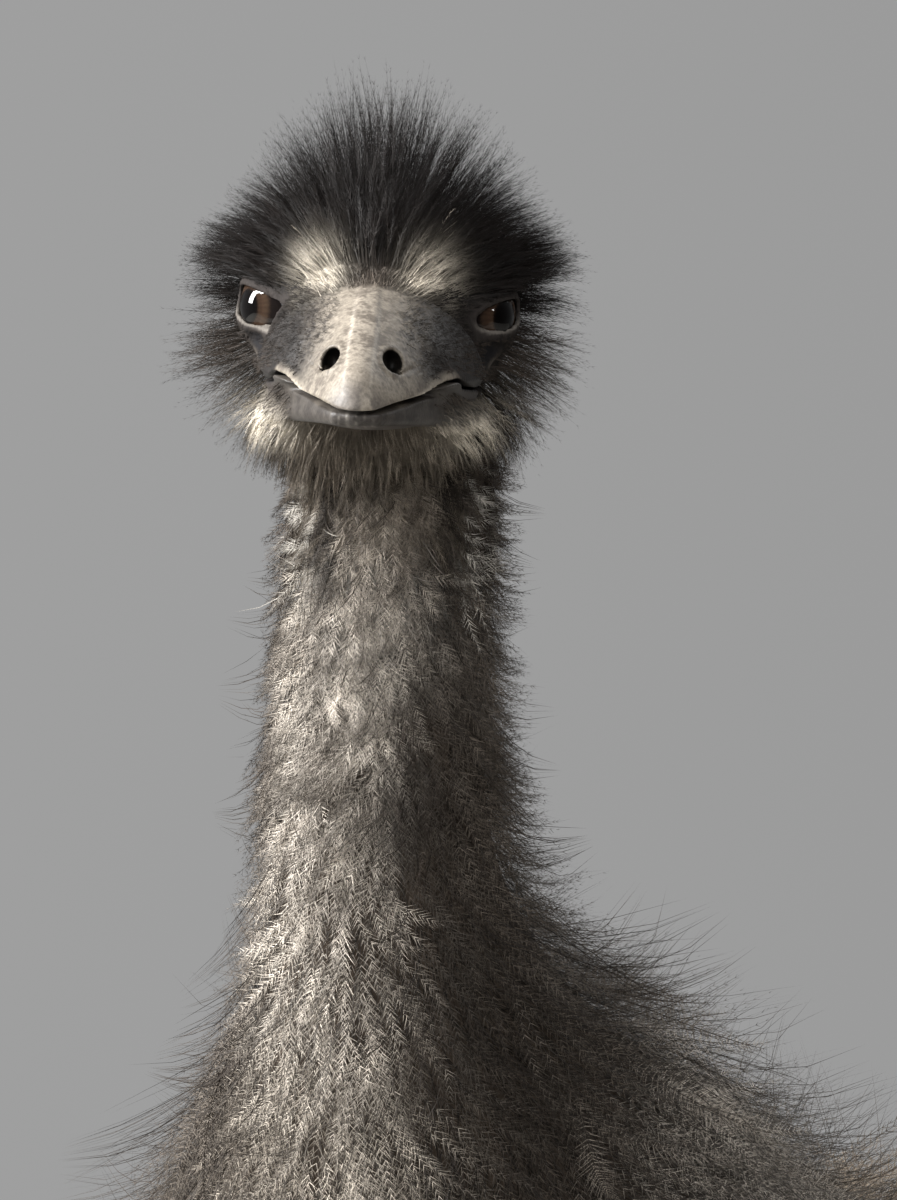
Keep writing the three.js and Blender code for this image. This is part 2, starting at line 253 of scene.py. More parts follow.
def curve_through(points: Array, ways: Array) -> Array:
    """A smooth curve through points, with knots spaced by the square root of the distances.

    Args:
        points: one row for each point.
        ways: shares of the way from the first to the last point.

    Returns:
        One row for each way.
    """
    count = len(points)
    padded = np.vstack([2 * points[0] - points[1], points, 2 * points[-1] - points[-2]])
    place = ways * (count - 1)
    start = np.minimum(place.astype(int), count - 2)
    share = (place - start)[:, None]
    before, first, second, after = (padded[start + k] for k in range(4))
    gaps = [
        np.maximum(np.sqrt(np.linalg.norm(q - p, axis=1)), 0.01)[:, None]
        for p, q in ((before, first), (first, second), (second, after))
    ]
    leaving = (first - before) / gaps[0] - (second - before) / (gaps[0] + gaps[1])
    leaving = (leaving + (second - first) / gaps[1]) * gaps[1]
    arriving = (second - first) / gaps[1] - (after - first) / (gaps[1] + gaps[2])
    arriving = (arriving + (after - second) / gaps[2]) * gaps[1]
    square = -3 * first + 3 * second - 2 * leaving - arriving
    cube = 2 * first - 2 * second + leaving + arriving
    return first + leaving * share + square * share**2 + cube * share**3


@dataclass(frozen=True)
class Station:
    """One section of a body: its middle, its reach each way, and the depth of the coat on it."""

    at: tuple[float, float, float]
    wide: float
    above: float
    below: float
    coat: float = 0.0


Relief = Callable[[Array, Array], Array]


class Loft:
    """A round-ended body carried along a smooth spine, as the bird's solids are.

    The spine is sampled in even steps, and a share of a shell's rings crowd towards its ends.
    """

    SAMPLES = 800
    CROWDED = 0.3
    NUDGE = 1e-3

    def __init__(
        self,
        stations: Sequence[Station],
        caps: tuple[float, float] = (0.1, 0.1),
        relief: Relief | None = None,
        ridge: float = 1.0,
    ) -> None:
        """Lays the spine and the sections between the stations.

        Args:
            stations: from front to back, or from top to bottom.
            caps: the shares of the way over which the ends close.
            relief: millimetres added to the coat's outline, by way and angle.
            ridge: over 1, draws the upper side up to a crest.
        """
        self.caps = caps
        self.relief = relief
        self.ridge = ridge
        ways = np.linspace(0.0, 1.0, self.SAMPLES + 1)
        spine = curve_through(np.array([s.at for s in stations]), ways)
        along = unit(np.gradient(spine, axis=0))
        across = unit(SIDEWAYS - along * (along @ SIDEWAYS)[:, None])
        above = np.cross(across, along)
        reach = curve_through(np.array([(s.wide, s.above, s.below) for s in stations]), ways)
        coat = np.interp(ways, np.linspace(0, 1, len(stations)), [s.coat for s in stations])
        self.table = np.column_stack([spine, along, across, above, reach, coat])

    def rows(self, way: Array) -> Array:
        """The spine, its three directions, the reach and the coat at each way.

        Args:
            way: shares of the way.

        Returns:
            One row of the table for each way.
        """
        place = np.clip(way, 0.0, 1.0) * self.SAMPLES
        start = np.minimum(place.astype(int), self.SAMPLES - 1)
        share = (place - start)[..., None]
        return self.table[start] * (1 - share) + self.table[start + 1] * share

    def place(self, way: Array, angle: Array, rise: Array | float = 1.0) -> Array:
        """Finds points on the body.

        Args:
            way: shares of the way along the spine.
            angle: round the section, 0 at the bird's left and a quarter turn at the top.
            rise: 0 on the skin and 1 at the tips of the coat.

        Returns:
            One point for each way and angle.
        """
        row = self.rows(way)
        rise = np.broadcast_to(rise, np.shape(way))
        ends = dome(way, self.caps[0]) * dome(1 - way, self.caps[1])
        extra = -row[..., 15] * (1 - rise)
        if self.relief is not None:
            extra = extra + self.relief(way, angle) * rise
        lift = np.sin(angle)
        high = (row[..., 13] + extra) * np.abs(lift) ** self.ridge
        low = (row[..., 14] + extra) * lift
        side = (row[..., 12] + extra) * np.cos(angle) * ends
        raised = np.where(lift > 0, high, low) * ends
        return row[..., 0:3] + row[..., 6:9] * side[..., None] + row[..., 9:12] * raised[..., None]

    def directions(self, way: Array, angle: Array, rise: Array | float) -> tuple[Array, Array, Array]:
        """How a point moves with the way and with the angle, and which way is out of the body.

        Args:
            way: shares of the way.
            angle: angles round the section.
            rise: 0 on the skin, 1 at the coat's tips.

        Returns:
            Change for each unit of way, change for each radian, and the unit normal.
        """
        step = self.NUDGE
        inside = np.clip(way, step, 1 - step)
        by_way = self.place(inside + step, angle, rise) - self.place(inside - step, angle, rise)
        by_angle = self.place(inside, angle + step, rise) - self.place(inside, angle - step, rise)
        normal = unit(np.cross(by_angle, by_way))
        outward = self.place(inside, angle, rise) - self.rows(inside)[..., 0:3]
        normal *= np.sign(np.sum(normal * outward, axis=-1, keepdims=True) + 1e-12)
        return by_way / (2 * step), by_angle / (2 * step), normal

    def shell(self, rings: int, sides: int, rise: float = 1.0, bumps: Relief | None = None) -> "Shell":
        """The body's closed surface.

        Args:
            rings: steps along the way.
            sides: steps round each section.
            rise: 0 for the skin, 1 for the coat's outline.
            bumps: millimetres by which the surface stands out, by way and angle.

        Returns:
            The shell, with its faces pointing out.
        """
        turn = np.arange(sides) * (2 * math.pi / sides)
        even = np.linspace(0, 1, rings + 1)
        crowded = (1 - np.cos(np.linspace(0, math.pi, rings + 1))) / 2
        ways = (self.CROWDED * crowded + (1 - self.CROWDED) * even)[1:-1]
        way, angle = (grid.ravel() for grid in np.meshgrid(ways, turn, indexing="ij"))
        ring_points = self.place(way, angle, rise)
        if bumps is not None:
            _, _, normal = self.directions(way, angle, rise)
            ring_points = ring_points + normal * bumps(way, angle)[:, None]
        tips = self.place(np.array([0.0, 1.0]), np.zeros(2), rise)
        return Shell.of_rings(np.vstack([ring_points, tips]), rings, sides)


@dataclass
class Shell:
    """A surface as points in mm with quads and triangles."""

    points: Array
    quads: Array
    tris: Array = field(default_factory=lambda: np.zeros((0, 3), int))

    @classmethod
    def of_rings(cls, points: Array, rings: int, sides: int) -> "Shell":
        """Closes rings of points with a fan at each end.

        Args:
            points: the rings from front to back, then the front's and the back's tip.
            rings: steps from tip to tip.
            sides: points round each ring.

        Returns:
            The shell, with its faces pointing out.
        """
        last = (rings - 2) * sides
        here = np.arange(last).reshape(rings - 2, sides)
        beside = np.roll(here, -1, axis=1)
        quads = np.stack([here, here + sides, beside + sides, beside], axis=-1).reshape(-1, 4)
        first = np.arange(sides)
        second = np.roll(first, -1)
        front = np.stack([np.full(sides, last + sides), first, second], axis=1)
        back = np.stack([np.full(sides, last + sides + 1), second + last, first + last], axis=1)
        return cls(points, quads, np.vstack([front, back])).facing_out()

    def facing_out(self) -> "Shell":
        """The same closed surface with its faces turned so that it holds a positive volume.

        Returns:
            The surface, with its faces pointing out.
        """
        fan = np.vstack([self.quads[:, [0, 1, 2]], self.quads[:, [0, 2, 3]], self.tris])
        a, b, c = (self.points[fan[:, k]] for k in range(3))
        if np.sum(a * np.cross(b, c)) < 0:
            return Shell(self.points, self.quads[:, ::-1], self.tris[:, ::-1])
        return self

    def moved(self, change: Callable[[Array], Array]) -> "Shell":
        """The same surface with its points put through a change of frame."""
        return Shell(change(self.points), self.quads, self.tris)


def in_metres(points: Array) -> Array:
    """Points of the bird, from its hips in mm, as points of the model."""
    return (points + np.array([0.0, MIDDLE_OF_BIRD, 0.0])) * MM


def linked(name: str, data: bpy.types.ID) -> bpy.types.Object:
    """Adds an object with this data to the scene.

    Args:
        name: the object's name.
        data: its mesh, light or camera.

    Returns:
        The new object.
    """
    made = bpy.data.objects.new(name, data)
    bpy.context.scene.collection.objects.link(made)
    return made


def piece_of(name: str, shell: Shell) -> bpy.types.Object:
    """Makes a mesh object of a shell.

    Args:
        name: the piece's name.
        shell: the surface, in mm.

    Returns:
        The new object, linked to the scene.
    """
    mesh = bpy.data.meshes.new(name)
    corners = np.concatenate([shell.quads.ravel(), shell.tris.ravel()]).astype(np.int32)
    sizes = np.concatenate([np.full(len(shell.quads), 4), np.full(len(shell.tris), 3)])
    starts = np.concatenate([[0], np.cumsum(sizes)[:-1]]).astype(np.int32)
    mesh.vertices.add(len(shell.points))
    mesh.vertices.foreach_set("co", in_metres(shell.points).astype(np.float32).ravel())
    mesh.loops.add(len(corners))
    mesh.loops.foreach_set("vertex_index", corners)
    mesh.polygons.add(len(sizes))
    mesh.polygons.foreach_set("loop_start", starts)
    mesh.update(calc_edges=True)
    return linked(name, mesh)


def points_of(piece: bpy.types.Object) -> Array:
    """A piece's points, in mm from the hips.

    Args:
        piece: a mesh object.

    Returns:
        One row for each point.
    """
    flat = np.zeros(len(piece.data.vertices) * 3, np.float32)
    piece.data.vertices.foreach_get("co", flat)
    return flat.reshape(-1, 3).astype(float) / MM - np.array([0.0, MIDDLE_OF_BIRD, 0.0])


def paint(piece: bpy.types.Object, colours: Array) -> None:
    """Stores a colour for each point of a piece.

    Args:
        piece: the mesh.
        colours: linear red, green and blue, one row for each point.
    """
    layer = piece.data.color_attributes.new(name=TONE, type="FLOAT_COLOR", domain="POINT")
    with_alpha = np.column_stack([colours, np.ones(len(colours))]).astype(np.float32)
    layer.data.foreach_set("color", with_alpha.ravel())


def add_node(
    tree: bpy.types.NodeTree,
    kind: str,
    settings: dict[str | int, object] | None = None,
    links: dict[str | int, bpy.types.NodeSocket] | None = None,
) -> bpy.types.Node:
    """Adds a node to a material's tree.

    Args:
        tree: the material's node tree.
        kind: the node's type name.
        settings: values for its sockets, or for its own properties where no socket has the name.
        links: the output socket that feeds each of its inputs.

    Returns:
        The new node.
    """
    made = tree.nodes.new(kind)
    for name, value in (settings or {}).items():
        if isinstance(name, int) or name in made.inputs:
            made.inputs[name].default_value = value
        else:
            setattr(made, name, value)
    for name, source in (links or {}).items():
        tree.links.new(source, made.inputs[name])
    return made


@dataclass(frozen=True)
class Finish:
    """A painted natural surface: the stored tone, broken up by grain and bumps of real size.

    The grain is the width of the blotches in its colour and the pits are its relief, both in mm. The
    gloss is the strength of its mirror reflection, a half where nothing dulls it.
    """

    name: str
    roughness: float
    ior: float
    grain: float
    grain_depth: float
    pits: float
    pit_height: float
    coat: float = 0.0
    coat_roughness: float = 0.03
    gloss: float = 0.5
    stretch: tuple[float, float, float] = (1.0, 1.0, 1.0)
    cells: bool = False

    def material(self) -> bpy.types.Material:
        """Builds the material.

        Returns:
            The material, with its tone taken from each point's colour.
        """
        material = bpy.data.materials.new(self.name)
        material.use_nodes = True
        tree = material.node_tree
        tree.nodes.clear()
        place = add_node(tree, "ShaderNodeTexCoord").outputs["Object"]
        along = add_node(tree, "ShaderNodeMapping", {"Scale": self.stretch}, {"Vector": place}).outputs[0]
        tone = add_node(tree, "ShaderNodeVertexColor", {"layer_name": TONE}).outputs["Color"]
        grain = add_node(
            tree,
            "ShaderNodeTexNoise",
            {"Scale": 1 / (self.grain * MM), "Detail": 4.0, "Roughness": 0.6},
            {"Vector": along},
        )
        dark, pale = 1 - self.grain_depth, 1 + self.grain_depth
        level = add_node(
            tree,
            "ShaderNodeMapRange",
            {"From Min": 0.3, "From Max": 0.7, "To Min": dark, "To Max": pale},
            {"Value": grain.outputs["Fac"]},
        )
        channels = {name: level.outputs[0] for name in ("Red", "Green", "Blue")}
        grey = add_node(tree, "ShaderNodeCombineColor", None, channels)
        blend = {"data_type": "RGBA", "blend_type": "MULTIPLY", 0: 1.0}
        coloured = add_node(tree, "ShaderNodeMix", blend, {6: tone, 7: grey.outputs[0]}).outputs[2]
        pattern = "ShaderNodeTexVoronoi" if self.cells else "ShaderNodeTexNoise"
        relief = add_node(tree, pattern, {"Scale": 1 / (self.pits * MM)}, {"Vector": along})
        height = relief.outputs["Distance" if self.cells else "Fac"]
        bump = add_node(
            tree,
            "ShaderNodeBump",
            {"Strength": 1.0, "Distance": self.pit_height * MM, "invert": self.cells},
            {"Height": height},
        )
        shader = add_node(
            tree,
            "ShaderNodeBsdfPrincipled",
            {
                "Roughness": self.roughness,
                "IOR": self.ior,
                "Coat Weight": self.coat,
                "Coat Roughness": self.coat_roughness,
                "Specular IOR Level": self.gloss,
            },
            {"Base Color": coloured, "Normal": bump.outputs["Normal"]},
        )
        add_node(tree, "ShaderNodeOutputMaterial", None, {"Surface": shader.outputs["BSDF"]})
        return material


# Keratin vanes, soft and with little gloss of their own as loose barbs are
BARBS = Finish("loose_feather_barbs", 0.6, 1.5, 3.0, 0.12, 0.6, 0.02, gloss=0.1)
# Living skin: dry, creased and finely pored, matt round the lids and lores
BARE_SKIN = Finish("bare_creased_skin", 0.75, 1.45, 2.2, 0.22, 0.9, 0.16, gloss=0.08, cells=True)
# The horn of the bill: grown in layers, worn smooth, with a dull gloss and small pits
BILL_HORN = Finish("grown_bill_horn", 0.5, 1.55, 1.1, 0.3, 0.8, 0.09, gloss=0.18)
# A wet eyeball: the tear film over the cornea gives a mirror-like gloss
EYE_WET = Finish("wet_cornea", 0.4, 1.38, 0.6, 0.15, 5.0, 0.0, coat=0.55, coat_roughness=0.015, gloss=0.0)
# Claw keratin: dark, ground on the soil, with streaks that run towards the tip
CLAW_KERATIN = Finish("ground_claw_keratin", 0.45, 1.55, 1.4, 0.3, 1.2, 0.06, stretch=(1.0, 0.15, 1.0))
# A sheet of pale seamless paper for the floor, faintly fibrous
FLOOR_PAPER = Finish("pale_floor_paper", 0.85, 1.45, 40.0, 0.03, 1.5, 0.02)


def smooth_union(first: Array, second: Array, reach: float) -> Array:
    """Joins two fields, with a fillet as wide as the reach."""
    share = np.clip(0.5 + 0.5 * (second - first) / reach, 0, 1)
    return second * (1 - share) + first * share - reach * share * (1 - share)


def smooth_cut(body: Array, tool: Array, reach: float) -> Array:
    """Takes the tool's field away from the body's, with an edge rounded by the reach."""
    return -smooth_union(-body, tool, reach)


class Field:
    """Signed distances on an even box of points in the head's frame, negative inside.

    Distances are told apart up to the band, in mm, from a surface.
    """

    BAND = 9.0

    def __init__(self, low: Sequence[float], high: Sequence[float], step: float) -> None:
        """Lays out the box.

        Args:
            low: its lowest corner, in mm.
            high: its highest corner, in mm.
            step: distance between its points, in mm.
        """
        self.low = np.array(low, np.float32)
        self.step = step
        counts = [int(math.ceil((b - a) / step)) + 1 for a, b in zip(low, high)]
        steps = [np.float32(step) * np.arange(count, dtype=np.float32) for count in counts]
        axes = [np.float32(start) + along for start, along in zip(low, steps)]
        self.x = axes[0][:, None, None]
        self.y = axes[1][None, :, None]
        self.z = axes[2][None, None, :]
        self.shape = tuple(counts)

    def of(self, shell: Shell) -> Array:
        """Measures a closed surface.

        Args:
            shell: the surface, in the head's frame.

        Returns:
            Its field on this box.
        """
        grid = openvdb.FloatGrid.createLevelSetFromPolygons(
            (shell.points - self.low).astype(np.float32),
            triangles=shell.tris.astype(np.uint32),
            quads=shell.quads.astype(np.uint32),
            transform=openvdb.createLinearTransform(voxelSize=self.step),
            halfWidth=self.BAND / self.step,
        )
        values = np.zeros(self.shape, np.float32)
        grid.copyToArray(values, ijk=(0, 0, 0))
        return values

    def surface(self, values: Array) -> Shell:
        """Meshes where a field is zero.

        Args:
            values: a field on this box.

        Returns:
            The closed surface, in the head's frame.
        """
        most = self.step * 3
        grid = openvdb.FloatGrid(most)
        grid.copyFromArray(np.clip(values, -most, most).astype(np.float32))
        grid.transform = openvdb.createLinearTransform(voxelSize=self.step)
        points, quads = grid.convertToQuads(isovalue=0.0)
        return Shell(points.astype(float) + self.low, quads.astype(int)).facing_out()


def face_body() -> Loft:
    """Skull and bare face, wider at the mouth than between the eyes.

    Returns:
        The body, in the head's frame.
    """
    return Loft(
        [
            Station((0, -62, -17), 22, 17, 11),
            Station((0, -40, -16), 29, 25, 14),
            Station((0, -20, -14), 34, 32, 19),
            Station((0, 2, -9), 38, 35, 25),
            Station((0, 38, -4), 34, 30, 30),
        ],
        caps=(0.12, 0.25),
    )


def upper_bill_body() -> Loft:
    """The upper bill, drawn up to its ridge.

    Returns:
        The body, in the head's frame.
    """
    level = MOUTH_GAP - GAPE_BELOW
    tip = -BILL_TIP_AHEAD
    return Loft(
        [
            Station((0, tip, level - 1.5), 4, 2.5, 2),
            Station((0, tip + 9, level), 10, 9, 1.5),
            Station((0, tip + 27, level + 0.8), 18, 16, 1.2),
            Station((0, tip + 46, level + 1.5), 25, 23, 1.2),
            Station((0, tip + 64, level + 1.5), 30.5, 28, 1.2),
            Station((0, tip + 84, level + 1), 35, 33, 1.2),
            Station((0, tip + 98, level + 1), 36, 35, 1.2),
        ],
        caps=(0.08, 0.06),
        ridge=BILL_RIDGE,
    )


def lower_bill_body() -> Loft:
    """The lower bill, shallow at the tip and deep at the jaw.

    Returns:
        The body, in the head's frame.
    """
    level = -GAPE_BELOW - 0.9
    tip = 4 - BILL_TIP_AHEAD
    return Loft(
        [
            Station((0, tip, level - 1.8), 4.5, 1, 2.5),
            Station((0, tip + 11, level - 1), 10.5, 0.9, 5.5),
            Station((0, tip + 30, level), 18, 0.9, 9),
            Station((0, tip + 52, level), 25.5, 0.9, 12),
            Station((0, tip + 78, level), 33, 0.9, 15),
            Station((0, tip + 94, level), 35, 0.9, 16),
        ],
        caps=(0.08, 0.06),
    )


def throat_body() -> Loft:
    """The throat between the jaws, back to the neck.

    Returns:
        The body, in the head's frame.
    """
    return Loft(
        [
            Station((0, -30, -27), 20, 4, 3),
            Station((0, -14, -31), 28, 8, 7),
            Station((-1, 8, -38), 31, 16, 13),
            Station((-3, 30, -44), 28, 22, 20),
        ],
        caps=(0.15, 0.2),
    )


def neck_top_body() -> Loft:
    """The neck's skin where it runs up into the head.

    Returns:
        The body, in the bird's frame.
    """
    x, y, z = EYES_AT
    return Loft(
        [
            Station((x - 3, y + 24, z - 2), 22, 22, 22),
            Station((x - 6, y + 34, z - 34), 26, 25, 24),
            Station((x - 12, y + 40, z - 86), 28, 27, 28),
            Station((x - 17, y + 47, z - 136), 31, 30, 31),
        ],
        caps=(0.1, 0.05),
    )


def locks(height: float, around: float, along: float) -> Relief:
    """Soft clumps in a coat's outline, larger where the plumage is longer.

    Args:
        height: how far they stand out, in mm.
        around: how many stand round the body.
        along: how often they wave along it, in radians.

    Returns:
        The relief.
    """

    def relief(way: Array, angle: Array) -> Array:
        """How far the outline stands out at each point."""
        wave = np.sin(along * way)
        return height * way * np.sin(around * angle + 2.1 * wave) * wave

    return relief


def torso_body() -> Loft:
    """Neck, trunk and drooping rump on one spine, with the coat's depth all along it.

    Returns:
        The body, in the bird's frame.
    """

    def from_eye(left: float, back: float, down: float) -> tuple[float, float, float]:
        """A place told from the middle of the eyes."""
        return (EYES_AT[0] + left, EYES_AT[1] + back, EYES_AT[2] - down)

    half = TRUNK_HALF_WIDTH
    return Loft(
        [
            Station(from_eye(-6, 34, 34), 35, 34, 33, 9),
            Station(from_eye(-12, 40, 86), 38, 37, 38, 10),
            Station(from_eye(-17, 47, 136), 43, 42, 43, 12),
            Station(from_eye(-22, 62, 184), 51, 49, 54, 15),
            Station(from_eye(-26, 94, 236), 72, 62, 74, 19),
            Station(from_eye(-29, 150, 296), 118, 80, 106, 25),
            Station((7, -336, 1012), half * 0.76, 108, 156, 32),
            Station((0, -236, 940), half * 0.9, 138, 208, 38),
            Station((0, -112, 884), half * 0.98, 170, 232, 42),
            Station((0, 18, 852), half, 198, 222, 44),
            Station((0, 150, 828), half * 0.96, 199, 196, 46),
            Station((0, 276, 788), half * 0.83, 174, 164, 48),
            Station((0, 376, 726), half * 0.62, 126, 122, 44),
            Station((0, 432, 656), half * 0.4, 72, 76, 34),
            Station((0, 456, 592), half * 0.18, 28, 30, 20),
        ],
        caps=(0.03, 0.05),
        relief=locks(5, 8, 21),
    )


def middle_of_eye(side: Side) -> Array:
    """Where an eye lies in the head's frame."""
    return np.array([side.value * HALF_BETWEEN_EYES, 0.0, 0.0])


def sight_axes(side: Side) -> tuple[Array, Array, Array]:
    """An eye's directions in the head's frame: its line of sight, level across it, and upright.

    Args:
        side: which eye.

    Returns:
        Three unit directions.
    """
    turn = math.radians(SIGHT_OUT)
    sight = np.array([side.value * math.sin(turn), -math.cos(turn), SIGHT_RISE])
    level = unit(np.cross(UP, sight))
    return sight, level, np.cross(sight, level)


def off_nostril(x: Array, y: Array, z: Array) -> tuple[Array, Array, Array]:
    """How far out, back and up places of the head's frame lie from the nearer nostril's middle."""
    return np.abs(x) - NOSTRIL_OUT, y + BILL_TIP_AHEAD - NOSTRIL_BEHIND_TIP, z - (NOSTRIL_ABOVE - GAPE_BELOW)


def oval(half: tuple[float, float, float], out: Array, back: Array, up: Array) -> Array:
    """Places points on an oval that leans back as it rises: 1 at its edge."""
    return np.sqrt((out / half[0]) ** 2 + ((back + 0.2 * up) / half[1]) ** 2 + (up / half[2]) ** 2)


@dataclass(frozen=True)
class EyeOpening:
    """The gaps between the lids, pointed towards the bill and round behind, in degrees about each eye.

    The gap is highest at the turn, counted outwards from straight ahead. The right eye stands wider
    open than the left, so the reach towards the bill, the height and how far the gap is raised in mm
    are given for the right and the left. The tilt drops the end by the bill, and the point is how sharp
    that end is, where 2 is round. The lid is how thick the skin lies over the eyeball, in mm.
    """

    turn: float = 54.0
    inner: tuple[float, float] = (58.0, 38.0)
    outer: float = 47.0
    high: tuple[float, float] = (18.0, 14.6)
    raised: tuple[float, float] = (0.9, 1.0)
    tilt: float = 0.1
    point: float = 1.8
    lid: float = 1.7

    def measure(self, x: Array, y: Array, z: Array) -> tuple[Array, Array]:
        """Tells how far points are from the lids' edge.

        Args:
            x: across the head, in mm.
            y: along the head.
            z: up.

        Returns:
            Distance outside the opening in mm, negative inside it, and distance from the eye's middle.
        """
        out = np.abs(x) - HALF_BETWEEN_EYES
        inner = np.where(x < 0, *self.inner)
        high = np.where(x < 0, *self.high)
        far = np.sqrt(out**2 + y**2 + z**2) + 1e-6
        turn = np.degrees(np.arctan2(out, -y)) - self.turn
        level = z - np.where(x < 0, *self.raised) - self.tilt * EYEBALL * np.radians(turn)
        rise = np.abs(np.degrees(np.arcsin(np.clip(level / far, -1, 1)))) / high
        inward = turn < 0
        spread = np.abs(turn) / np.where(inward, inner, self.outer)
        power = np.where(inward, self.point, 2.0)
        share = (spread**power + rise**power) ** (1 / power)
        return (share - 1) * EYEBALL * np.radians(high), far


@dataclass
class Head:
    """The head's skin and bill, shaped as one and parted at the feather edge and the mouth.

    The edge is the plane where the bill's horn begins. The mouth's line rises in a wave below the lores,
    as high as the smile, and falls off over the smile's lengths: ahead, close behind and farther behind.
    The pouch is the oval fold below an eye, told from the eye's middle, with its half width and half
    height. The jaw's rims start at a place ahead of the eyes. They have a length, and how far out and
    down they lie and how thick they are is told for the front, with what each gains on the way back.
    Wrinkle and grain are the widths of the lids' and the bill's relief, and the steps tell how finely
    skin and bill are meshed. All are in mm.
    """

    opening: EyeOpening = field(default_factory=EyeOpening)
    edge_point: tuple[float, float] = (-38.0, 11.0)
    edge_normal: tuple[float, float] = (-0.84, -0.54)
    smile: float = 5.0
    smile_from_eyes: float = 50.0
    smile_length: tuple[float, float, float] = (27.0, 8.0, 26.0)
    pouch: tuple[float, float, float] = (10.1, -16.6, -10.4)
    pouch_half: tuple[float, float] = (7.4, 2.9)
    rims_from: float = 94.0
    rims_length: float = 76.0
    rims_out: tuple[float, float] = (6.0, 24.0)
    rims_down: tuple[float, float] = (22.5, 7.0)
    rims_half: tuple[float, float] = (2.0, 1.9)
    wrinkle: float = 1.5
    wrinkle_height: float = 0.24
    grain: tuple[float, float] = (1.7, 1.9)
    grain_height: float = 0.36
    skin_step: float = 0.95
    bill_step: float = 0.6

    SKIN_BOX = ((-50, -62, -88), (50, 74, 44))
    BILL_BOX = ((-41, -106, -42), (41, -12, 16))

    def mouth_level(self, y: Array) -> Array:
        """Height of the line of the mouth, which rises in a wave below the lores.

        Args:
            y: places along the head, in mm.

        Returns:
            The height at each place.
        """
        off = y + self.smile_from_eyes
        ahead, near, behind = self.smile_length
        fall = 0.55 * bell(off / near) + 0.45 * bell(off / behind)
        wave = np.where(off < 0, bell(off / ahead), fall)
        return -GAPE_BELOW - 1.2 - 1.2 * smooth_step(-45, -20, y) + self.smile * wave

    def ahead_of_edge(self, y: Array, z: Array) -> Array:
        """Distance in mm ahead of the plane where the bill's horn begins, negative behind it."""
        ny, nz = self.edge_normal
        return (ny * (y - self.edge_point[0]) + nz * (z - self.edge_point[1])) / math.hypot(ny, nz)

    def pouch_spread(self, x: Array, y: Array, z: Array) -> tuple[Array, Array]:
        """Places points on the oval fold below the eye.

        Args:
            x: across the head, in mm.
            y: along the head.
            z: up.

        Returns:
            Shares of the way from its middle to its edge, and distances off its face.
        """
        out = unit(np.array(self.pouch))
        level = unit(np.cross(UP, out))
        middle = middle_of_eye(Side.LEFT) + np.array(self.pouch)
        place = (np.abs(x) - middle[0], y - middle[1], z - middle[2])

        def reach(axis: Array) -> Array:
            """How far points lie from the middle along an axis."""
            return sum(part * share for part, share in zip(place, axis))

        wide = reach(level) / self.pouch_half[0]
        high = reach(np.cross(out, level)) / self.pouch_half[1]
        return np.sqrt(wide**2 + high**2), np.abs(reach(out))

    def whole(self, box: Field, neck: Shell | None) -> Array:
        """Shapes face, lids and bill as one body.

        Args:
            box: where to measure.
            neck: the neck's skin in the head's frame, where the box reaches it.

        Returns:
            The field of the whole head.
        """
        x, y, z = box.x, box.y, box.z
        body = box.of(face_body().shell(150, 120))
        body = smooth_union(body, box.of(upper_bill_body().shell(150, 120)), 5.0)
        body = smooth_union(body, box.of(lower_bill_body().shell(120, 120)), 2.0)
        gap, far = self.opening.measure(x, y, z)
        body = smooth_union(body, far - EYEBALL - self.opening.lid, 5.0)
        if neck is not None:
            body = smooth_union(body, box.of(throat_body().shell(90, 90)), 6.0)
            body = smooth_union(body, box.of(neck) + 0.4, 9.0)
        body = smooth_union(body, self.jaw_rims(x, y, z), 3.0)
        body = self.with_lids(body, gap, far, x, y, z)
        return self.with_bill_relief(body, x, y, z)

    def jaw_rims(self, x: Array, y: Array, z: Array) -> Array:
        """The two deep rims of the lower jaw, which thicken from the tip back to the gape.

        Args:
            x: across the head, in mm.
            y: along the head.
            z: up.

        Returns:
            Their field.
        """
        back = np.clip((y + self.rims_from) / self.rims_length, 0, 1)
        out = np.abs(x) - (self.rims_out[0] + self.rims_out[1] * back**0.8)
        up = z + self.rims_down[0] + self.rims_down[1] * back
        past = y + self.rims_from - self.rims_length * back
        return np.sqrt(out**2 + up**2 + past**2) - (self.rims_half[0] + self.rims_half[1] * back)

    def with_lids(self, body: Array, gap: Array, far: Array, x: Array, y: Array, z: Array) -> Array:
        """Opens the lids and adds their rims, wrinkles and the fold below them.

        Args:
            body: the head's field so far.
            gap: distance outside the lids' edge.
            far: distance from the eye's middle.
            x: across the head, in mm.
            y: along the head.
            z: up.

        Returns:
            The field with its lids.
        """
        near = far < EYEBALL + 8
        rim = np.sqrt(gap**2 + (far - EYEBALL - 0.7) ** 2) - 0.6
        body = np.where(near, smooth_union(body, rim, 1.0), body)
        waves = self.wrinkle_height * np.cos(2 * math.pi * gap / self.wrinkle)
        wrinkles = waves * smooth_step(0.8, 1.6, gap) * smooth_step(8.5, 4, gap)
        body = body + np.where(near, wrinkles, 0)
        spread, off = self.pouch_spread(x, y, z)
        on_fold = smooth_step(6, 4, off) * smooth_step(0.9, 2.4, gap)
        body = body + 0.9 * smooth_step(1.0, 0.5, spread) * on_fold
        body = body - 0.55 * bell((spread - 1.15) / 0.17) * on_fold
        opened = np.maximum(np.maximum(gap, EYEBALL - 2 - far), far - (EYEBALL + 6))
        body = smooth_cut(body, opened, 0.5)
        return np.maximum(body, EYEBALL + 0.12 - far)

